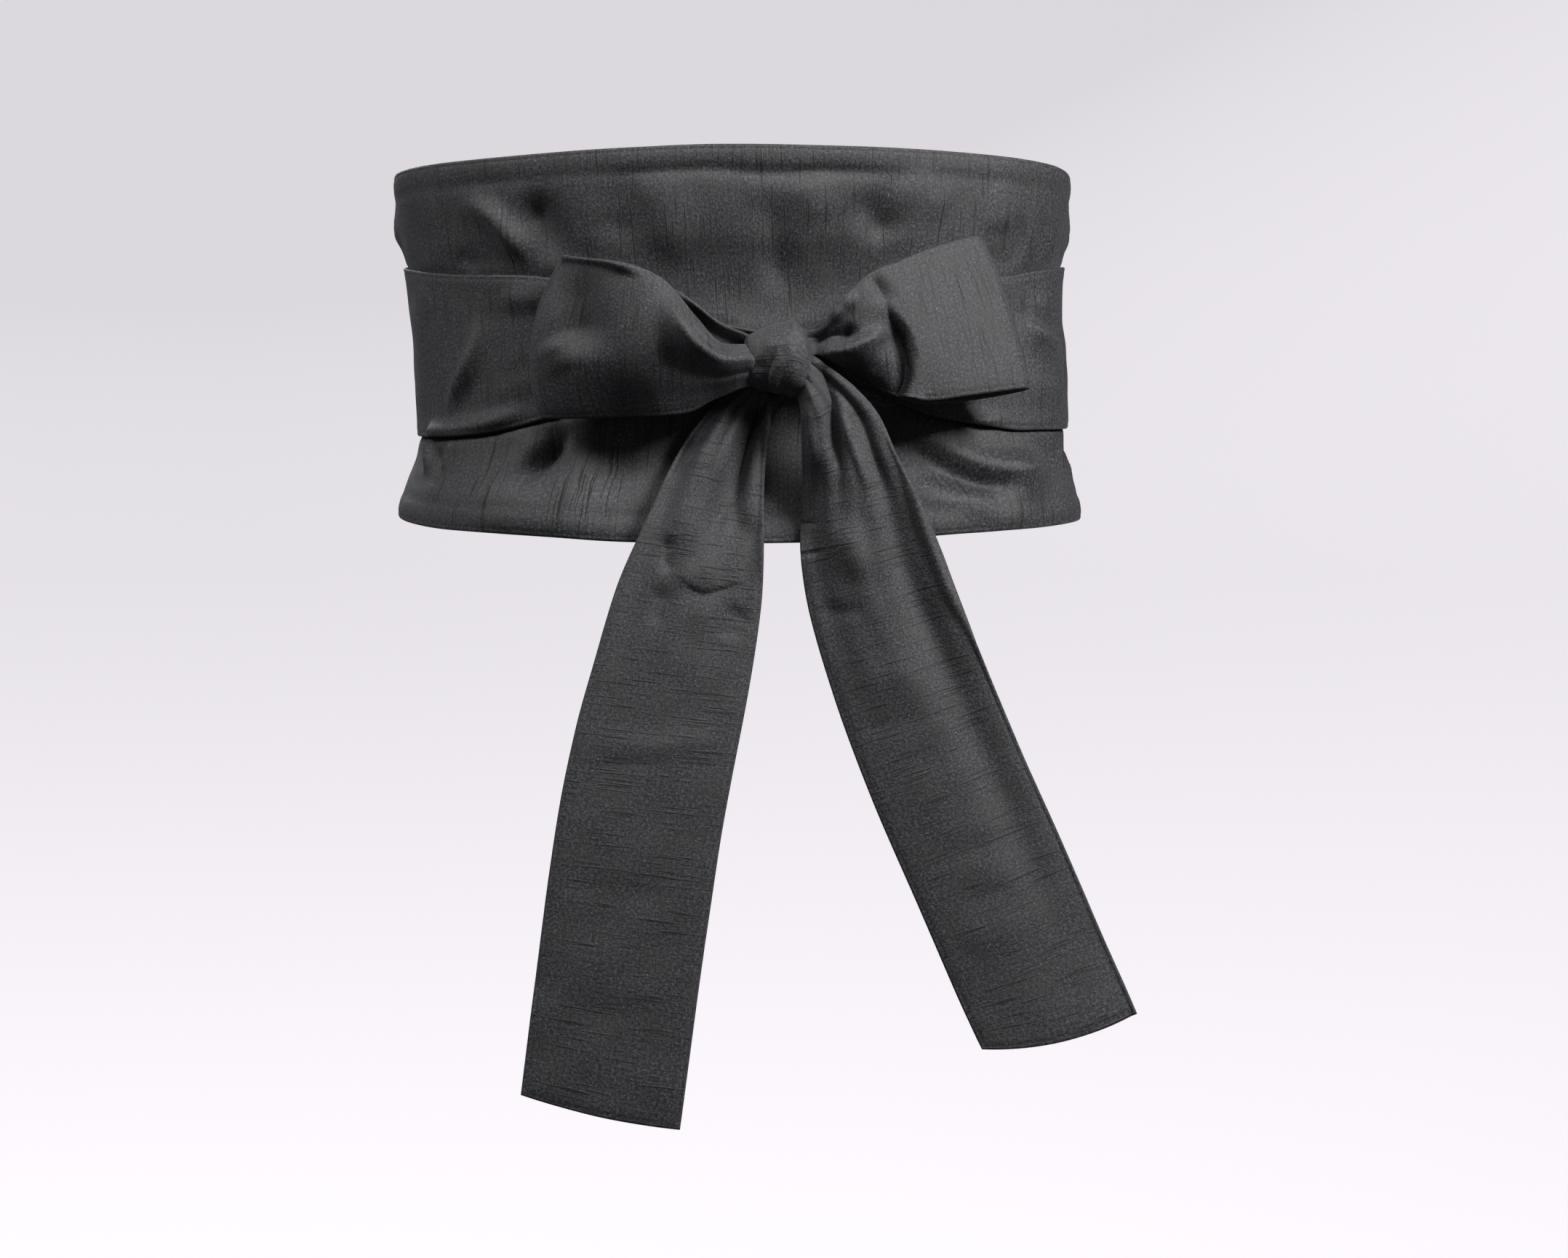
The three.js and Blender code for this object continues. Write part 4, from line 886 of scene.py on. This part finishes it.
def thread_material(props):
    """A doubled silk thread: darker and drier than the cloth it lies in."""
    material, add = new_material("slub_silk_thread")
    place = add("ShaderNodeTexCoord").outputs["Object"]
    twist = add("ShaderNodeTexNoise", {"Vector": place, "Scale": 900.0, "Detail": 1.0})
    twist = twist.outputs["Fac"]
    links = {0: twist, 6: linear("#070708"), 7: tuple(props.thread_colour) + (1,)}
    colour = add("ShaderNodeMix", links, data_type="RGBA").outputs[2]
    bump = add("ShaderNodeBump", {"Height": twist, "Distance": 0.1 * MM, "Strength": 0.4})
    links = {"Base Color": colour, "Roughness": 0.75, "Normal": bump.outputs[0]}
    shader = add("ShaderNodeBsdfPrincipled", links)
    add("ShaderNodeOutputMaterial", {"Surface": shader.outputs[0]})
    return material


def paper_material(props):
    """Seamless background paper: matt, nearly white and a little cool, with an even glow of its own."""
    material = bpy.data.materials.new("background_paper")
    material.use_nodes = True
    shader = material.node_tree.nodes["Principled BSDF"]
    colour = tuple(props.paper_colour) + (1,)
    shader.inputs["Base Color"].default_value = colour
    shader.inputs["Roughness"].default_value = 0.9
    shader.inputs["Specular IOR Level"].default_value = 0.0
    shader.inputs["Emission Color"].default_value = colour
    shader.inputs["Emission Strength"].default_value = 0.34
    return material


# ------------------------------------------------------------------ slub threads
SLUBS_PER_M2 = {"panel": 420, "tail_left": 80, "tail_right": 80}
OTHER_SLUBS_PER_M2 = 50
# Where slubs lie close together on the panel: x, its spread, z and its spread, in mm.
SLUB_GROUPS = ((-93, 2.5, -58, 8), (-63, 3, -61, 7), (-54, 3, -57, 7), (-45, 2.5, -55, 7))
GROUP_PER_M2 = 110000  # in the middle of such a group
BARE_COLUMNS = 8  # at each edge of a sheet, where no slub has its middle
WANDER = 0.0024  # metres that a slub may stray in all, from side to side
RISE = 0.00004  # metres that a slub's centre line lies above the cloth's face
THINNEST = 2e-5  # metres: a slub's radius at its tips
OUTER_FACES = {}  # each piece's outer face, which its slubs are laid on


def thread_tree(material):
    """Geometry nodes that lay short tapered threads on a sheet, across the tie."""
    tree = bpy.data.node_groups.new("slub_threads", "GeometryNodeTree")
    tree.is_modifier = True
    face = tree.interface
    face.new_socket("Cloth", in_out="INPUT", socket_type="NodeSocketGeometry")
    for name, default in (("Shortest", 0.007), ("Longest", 0.03), ("Thickness", 0.00032)):
        socket = face.new_socket(name, in_out="INPUT", socket_type="NodeSocketFloat")
        socket.default_value = default
        socket.subtype = "DISTANCE"
    face.new_socket("Seed", in_out="INPUT", socket_type="NodeSocketInt").default_value = 7
    face.new_socket("Threads", in_out="OUTPUT", socket_type="NodeSocketGeometry")
    add = partial(add_node, tree)
    given = add("NodeGroupInput").outputs
    count = add("GeometryNodeInputNamedAttribute", {"Name": "slubs"}, data_type="FLOAT")
    across = add("GeometryNodeInputNamedAttribute", {"Name": "weft"}, data_type="FLOAT_VECTOR")
    links = {"Mesh": given["Cloth"], "Density": count.outputs[0], "Seed": given["Seed"]}
    points = add("GeometryNodeDistributePointsOnFaces", links)
    way = add("FunctionNodeAlignRotationToVector", {"Vector": across.outputs[0]}, axis="X")
    line = add("GeometryNodeCurvePrimitiveLine", {"Start": (-0.5, 0, 0), "End": (0.5, 0, 0)})
    line = add("GeometryNodeResampleCurve", {"Curve": line.outputs[0], "Count": 13})
    links = {2: given["Shortest"], 3: given["Longest"], "Seed": given["Seed"]}
    length = add("FunctionNodeRandomValue", links, data_type="FLOAT")
    size = add("ShaderNodeCombineXYZ", {0: length.outputs[1], 1: 1.0, 2: 1.0})
    links = {"Points": points.outputs[0], "Instance": line.outputs[0]}
    links |= {"Rotation": way.outputs[0], "Scale": size.outputs[0]}
    lines = add("GeometryNodeInstanceOnPoints", links)
    lines = add("GeometryNodeRealizeInstances", {0: lines.outputs[0]})
    # Each line strays a little, and is then laid back on the cloth.
    wander = add("ShaderNodeTexNoise", {"Scale": 90.0, "Detail": 1.0})
    links = {0: wander.outputs["Color"], 1: (WANDER,) * 3, 2: (-WANDER / 2,) * 3}
    wander = add("ShaderNodeVectorMath", links, operation="MULTIPLY_ADD")
    lines = add("GeometryNodeSetPosition", {"Geometry": lines.outputs[0], "Offset": wander.outputs[0]})
    nearest = add("GeometryNodeProximity", {0: given["Cloth"]}, target_element="FACES")
    links = {"Mesh": given["Cloth"], "Value": add("GeometryNodeInputNormal").outputs[0]}
    out = add("GeometryNodeSampleNearestSurface", links, data_type="FLOAT_VECTOR")
    raised = add("ShaderNodeVectorMath", {0: out.outputs[0], "Scale": RISE}, operation="SCALE")
    links = {0: nearest.outputs["Position"], 1: raised.outputs[0]}
    place = add("ShaderNodeVectorMath", links, operation="ADD")
    lines = add("GeometryNodeSetPosition", {"Geometry": lines.outputs[0], "Position": place.outputs[0]})
    # It is thickest in its middle and tapers to both tips.
    radius = add("GeometryNodeSplineParameter").outputs["Factor"]
    for operation, links in (
        ("MULTIPLY", {1: math.pi}),
        ("SINE", {}),
        ("POWER", {1: 0.55}),
        ("MULTIPLY", {1: given["Thickness"]}),
        ("MULTIPLY_ADD", {1: 0.5, 2: THINNEST}),
    ):
        radius = add("ShaderNodeMath", {0: radius, **links}, operation=operation).outputs[0]
    ring = add("GeometryNodeCurvePrimitiveCircle", {"Resolution": 6, "Radius": 1.0})
    links = {"Curve": lines.outputs[0], "Profile Curve": ring.outputs[0], "Scale": radius, "Fill Caps": True}
    threads = add("GeometryNodeCurveToMesh", links)
    threads = add("GeometryNodeRealizeInstances", {0: threads.outputs[0]})
    threads = add("GeometryNodeSetMaterial", {"Geometry": threads.outputs[0], "Material": material})
    add("NodeGroupOutput", {0: threads.outputs[0]})
    return tree


def lay_threads(name, sheets, tree, props):
    """One plain mesh of all the threads that the tree lays on the sheets."""
    points, faces = [], []
    sockets = {item.name: item.identifier for item in tree.interface.items_tree}
    for order, (sheet, weft, density) in enumerate(sheets):
        rows, columns = sheet.shape[:2]
        index = np.arange(rows * columns).reshape(rows, columns)
        mesh = bpy.data.meshes.new(name)
        mesh.from_pydata((sheet.reshape(-1, 3) * MM).tolist(), [], grid_quads(index).tolist())
        for attribute, kind, field, values in (
            ("weft", "FLOAT_VECTOR", "vector", weft),
            ("slubs", "FLOAT", "value", density),
        ):
            layer = mesh.attributes.new(attribute, kind, "POINT")
            layer.data.foreach_set(field, values.astype(np.float32).ravel())
        carrier = add_object(name, mesh)
        modifier = carrier.modifiers.new("threads", "NODES")
        modifier.node_group = tree
        modifier[sockets["Shortest"]] = props.thread_shortest
        modifier[sockets["Longest"]] = props.thread_longest
        modifier[sockets["Thickness"]] = props.thread_thickness
        modifier[sockets["Seed"]] = props.thread_seed + order
        seen = carrier.evaluated_get(bpy.context.evaluated_depsgraph_get())
        made = bpy.data.meshes.new_from_object(seen)
        faces += [[v + len(points) for v in polygon.vertices] for polygon in made.polygons]
        points += [tuple(vertex.co) for vertex in made.vertices]
        bpy.data.objects.remove(carrier)
        bpy.data.meshes.remove(mesh)
        bpy.data.meshes.remove(made)
    if not faces:
        raise RuntimeError("the node tree laid no threads")
    mesh = bpy.data.meshes.new(name)
    mesh.from_pydata(points, [], faces)
    mesh.polygons.foreach_set("use_smooth", np.ones(len(faces), dtype=bool))
    if signed_volume(mesh) < 0:
        mesh.flip_normals()
    return add_object(name, mesh)


def finish_cloth(piece, node, flat, props, area=None, rests_on=()):
    """Gives a piece its cloth, hangs it from the body, and hides the solid part it stands for."""
    piece.data.materials.append(dupioni_material(props))
    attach(piece, BODY)
    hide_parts(node)


def add_cloth(name, node, cloth, flat, props, **stated):
    """Makes a piece from its wall of cloth, and keeps its outer face for the slubs."""
    OUTER_FACES[node] = cloth.outer
    finish_cloth(closed_wall(name, cloth), node, flat, props, **stated)


# ------------------------------------------------------------------ sizes and colours to change
class ObiBeltProperties(bpy.types.PropertyGroup):
    """The belt's colours and the sizes of its slubs"""

    cloth_colour: bpy.props.FloatVectorProperty(
        name="Cloth colour", description="Charcoal of the dyed cloth", subtype="COLOR", size=3, min=0, max=1,
        default=linear("#262529")[:3],
    )
    thread_colour: bpy.props.FloatVectorProperty(
        name="Slub colour", description="Colour of the thick threads", subtype="COLOR", size=3, min=0, max=1,
        default=linear("#0d0d0e")[:3],
    )
    paper_colour: bpy.props.FloatVectorProperty(
        name="Paper colour", description="Floor and backdrop", subtype="COLOR", size=3, min=0, max=1,
        default=linear("#efebf0")[:3],
    )
    cloth_roughness: bpy.props.FloatProperty(
        name="Cloth roughness", description="How dry the sheen of the cloth is", subtype="FACTOR",
        default=0.46, min=0.1, max=1.0,
    )
    thread_shortest: bpy.props.FloatProperty(
        name="Shortest slub", description="Length of the shortest slub", default=0.007, subtype="DISTANCE",
        unit="LENGTH",
    )
    thread_longest: bpy.props.FloatProperty(
        name="Longest slub", description="Length of the longest slub", default=0.03, subtype="DISTANCE",
        unit="LENGTH",
    )
    thread_thickness: bpy.props.FloatProperty(
        name="Slub thickness", description="How much thicker a slub is in its middle than at its tips",
        default=0.00032, subtype="DISTANCE", unit="LENGTH", precision=5,
    )
    room_light: bpy.props.FloatProperty(
        name="Room light", description="How much light comes from all round", default=0.08, min=0.0, max=2.0,
    )
    thread_seed: bpy.props.IntProperty(name="Slub seed", description="Where the slubs fall", default=7)


def settings(context):
    """The belt's sizes and colours in this scene."""
    return context.scene.obi_belt


class OBI_OT_panel(bpy.types.Operator):
    """Make the waist panel, whose long ends narrow to the ties"""

    bl_idname = "obi_belt.panel"
    bl_label = "Waist panel"

    def execute(self, context):
        cloth = panel_cloth(columns=340, middle=84)
        add_cloth("waist_panel", "panel", cloth, (0.148, 0.57), settings(context), area=0.075)
        return {"FINISHED"}


class OBI_OT_wound_ties(bpy.types.Operator):
    """Make the two stretches of tie that cross at the back and come round to the knot"""

    bl_idname = "obi_belt.wound_ties"
    bl_label = "Ties round the waist"

    def execute(self, context):
        for node, rows, way, creases in (
            ("tie_wound_left", WOUND_LEFT, 1, WOUND_LEFT_CREASES),
            ("tie_wound_right", WOUND_RIGHT, -1, WOUND_RIGHT_CREASES),
        ):
            cloth = wound_cloth(rows, way, creases, seed=40 + way, columns=300, middle=44)
            name = node.replace("tie_wound", "wound_tie")
            add_cloth(name, node, cloth, (0.060, 0.41), settings(context), rests_on=["panel"])
        return {"FINISHED"}


class OBI_OT_loops(bpy.types.Operator):
    """Make the two loops of the bow"""

    bl_idname = "obi_belt.loops"
    bl_label = "Bow loops"

    def execute(self, context):
        for node, rows, front, back, steps, side in (
            ("loop_left", LOOP_LEFT, LOOP_LEFT_CREASES, LOOP_LEFT_BACK, (), 1),
            ("loop_right", LOOP_RIGHT, LOOP_RIGHT_CREASES, LOOP_RIGHT_BACK, LOOP_RIGHT_STEPS, -1),
        ):
            cloth = ribbon_cloth(
                rows, front, back, steps, side, seed=60 + side, columns=280, middle=60, turns_at=0.53
            )
            add_cloth("bow_" + node, node, cloth, (0.060, 0.19), settings(context), rests_on=["knot"])
        return {"FINISHED"}


class OBI_OT_tails(bpy.types.Operator):
    """Make the two hanging ends of the bow"""

    bl_idname = "obi_belt.tails"
    bl_label = "Hanging ends"

    def execute(self, context):
        for node, rows, creases, steps, seed in (
            ("tail_left", TAIL_LEFT, TAIL_LEFT_CREASES, TAIL_LEFT_STEPS, 98),
            ("tail_right", TAIL_RIGHT, TAIL_RIGHT_CREASES, (), 99),
        ):
            cloth = ribbon_cloth(rows, creases, (), steps, -1, seed, columns=300, middle=50, hem=True)
            add_cloth("bow_" + node, node, cloth, (0.060, 0.285), settings(context), rests_on=["knot"])
        return {"FINISHED"}


class OBI_OT_knot(bpy.types.Operator):
    """Make the knot, where one tie is wrapped over the other"""

    bl_idname = "obi_belt.knot"
    bl_label = "Knot"

    def execute(self, context):
        piece = knot_mesh("bow_knot")
        finish_cloth(piece, "knot", (0.060, 0.080), settings(context), area=0.00155)
        return {"FINISHED"}


class OBI_OT_slub_threads(bpy.types.Operator):
    """Lay the thick weft threads that stand out of the cloth"""

    bl_idname = "obi_belt.slub_threads"
    bl_label = "Slub threads"

    def execute(self, context):
        props = settings(context)
        sheets = []
        for node, outer in OUTER_FACES.items():
            weft = np.gradient(outer, axis=1)
            weft /= np.maximum(np.linalg.norm(weft, axis=-1, keepdims=True), 1e-9)
            x, y, z = outer[..., 0], outer[..., 1], outer[..., 2]
            density = np.full(x.shape, float(SLUBS_PER_M2.get(node, OTHER_SLUBS_PER_M2)))
            if node == "panel":
                for middle, spread, height, tall in SLUB_GROUPS:
                    group = np.exp(-(((x - middle) / spread) ** 2) - ((z - height) / tall) ** 2)
                    density += GROUP_PER_M2 * group * (y < 0)
            if node.startswith("tie"):
                density *= y < -60  # only at the front, where they are seen
            density[:, :BARE_COLUMNS] = 0
            density[:, -BARE_COLUMNS:] = 0
            sheets.append((outer, weft, density))
        material = thread_material(props)
        piece = lay_threads("slub_threads", sheets, thread_tree(material), props)
        piece.data.materials.append(material)
        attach(piece, BODY)
        return {"FINISHED"}


CAMERA_AT = (0.019, -1.6, -0.109)
LENS = 93.6  # mm, on a sensor 36 mm wide
LIGHTS = (  # place and aim in metres, side in metres, power in watts
    ("key", (1.6, -1.2, 1.25), (0, 0, -0.05), 0.7, 80),
    ("top", (-0.2, -1.3, 2.0), (0, 0, -0.05), 1.2, 20),
    ("fill", (-1.9, -0.55, 1.6), (0, 0, -0.05), 0.8, 30),
    ("back", (-0.5, 2.2, 1.6), (0, 0, 0), 1.6, 55),
)
# The paper's floor height, the radius of its wall, the radius of the curve between them and the wall's
# top, in metres.
FLOOR_Z, WALL_R, COVE, WALL_TOP = -0.95, 3.2, 0.9, 2.0


class OBI_OT_stage(bpy.types.Operator):
    """Make the paper floor and backdrop, the soft lights and the camera"""

    bl_idname = "obi_belt.stage"
    bl_label = "Stage, light and camera"

    def execute(self, context):
        props = settings(context)
        scene = context.scene
        camera = add_object("camera", bpy.data.cameras.new("camera"))
        camera.data.sensor_width = 36.0
        camera.data.lens = LENS
        camera.data.clip_end = 30
        camera.location = CAMERA_AT
        camera.rotation_euler = (math.pi / 2, 0, 0)
        scene.camera = camera
        scene.view_settings.view_transform = "Standard"
        self.paper(props)
        world = bpy.data.worlds.new("studio")
        world.use_nodes = True
        background = world.node_tree.nodes["Background"]
        background.inputs["Color"].default_value = linear("#eef0f8")
        background.inputs["Strength"].default_value = props.room_light
        scene.world = world
        for name, place, aim, size, power in LIGHTS:
            lamp = bpy.data.lights.new(name, "AREA")
            lamp.size = size
            lamp.energy = power
            light = add_object(name, lamp)
            light.location = place
            light.rotation_euler = (Vector(aim) - Vector(place)).to_track_quat("-Z", "Y").to_euler()
            light.visible_camera = False
        return {"FINISHED"}

    def paper(self, props):
        """A round sweep of paper: a floor that curves up into a wall on every side."""
        bend = [
            (WALL_R - COVE + COVE * math.sin(a), FLOOR_Z + COVE - COVE * math.cos(a))
            for a in np.linspace(0, math.pi / 2, 16)
        ]
        profile = [(1.0, FLOOR_Z)] + bend + [(WALL_R, WALL_TOP)]
        turns = 96
        points = [(0, 0, FLOOR_Z)]
        for r, z in profile:
            points += [
                (r * math.cos(a), r * math.sin(a), z)
                for a in np.linspace(0, 2 * math.pi, turns, endpoint=False)
            ]
        ring = [[1 + k * turns + i for i in range(turns)] for k in range(len(profile))]
        faces = [(0, ring[0][i], ring[0][(i + 1) % turns]) for i in range(turns)]
        for low, high in zip(ring, ring[1:]):
            faces += [(low[i], high[i], high[(i + 1) % turns], low[(i + 1) % turns]) for i in range(turns)]
        mesh = bpy.data.meshes.new("paper")
        mesh.from_pydata(points, [], faces)
        mesh.polygons.foreach_set("use_smooth", np.ones(len(faces), dtype=bool))
        paper = add_object("paper", mesh)
        mesh.materials.append(paper_material(props))
        # The paper gives light of its own, which isn't to fall on the cloth or to shine in it.
        paper.visible_diffuse = False
        paper.visible_glossy = False


STEPS = (
    OBI_OT_stage,
    OBI_OT_panel,
    OBI_OT_wound_ties,
    OBI_OT_loops,
    OBI_OT_tails,
    OBI_OT_knot,
    OBI_OT_slub_threads,
)


class OBI_PT_sidebar(bpy.types.Panel):
    """The belt's sizes, colours and steps"""

    bl_label = "Obi Belt"
    bl_idname = "OBI_PT_sidebar"
    bl_space_type = "VIEW_3D"
    bl_region_type = "UI"
    bl_category = "Obi Belt"

    def draw(self, context):
        for name in ObiBeltProperties.__annotations__:
            self.layout.prop(settings(context), name)
        for step in STEPS:
            self.layout.operator(step.bl_idname)


CLASSES = (ObiBeltProperties, *STEPS, OBI_PT_sidebar)


def register():
    for item in CLASSES:
        bpy.utils.register_class(item)
    bpy.types.Scene.obi_belt = bpy.props.PointerProperty(type=ObiBeltProperties)


def unregister():
    del bpy.types.Scene.obi_belt
    for item in reversed(CLASSES):
        bpy.utils.unregister_class(item)


def main():
    """Makes the whole belt."""
    register()
    for step in STEPS:
        group, name = step.bl_idname.split(".")
        getattr(getattr(bpy.ops, group), name)()


if __name__ == "__main__":
    main()
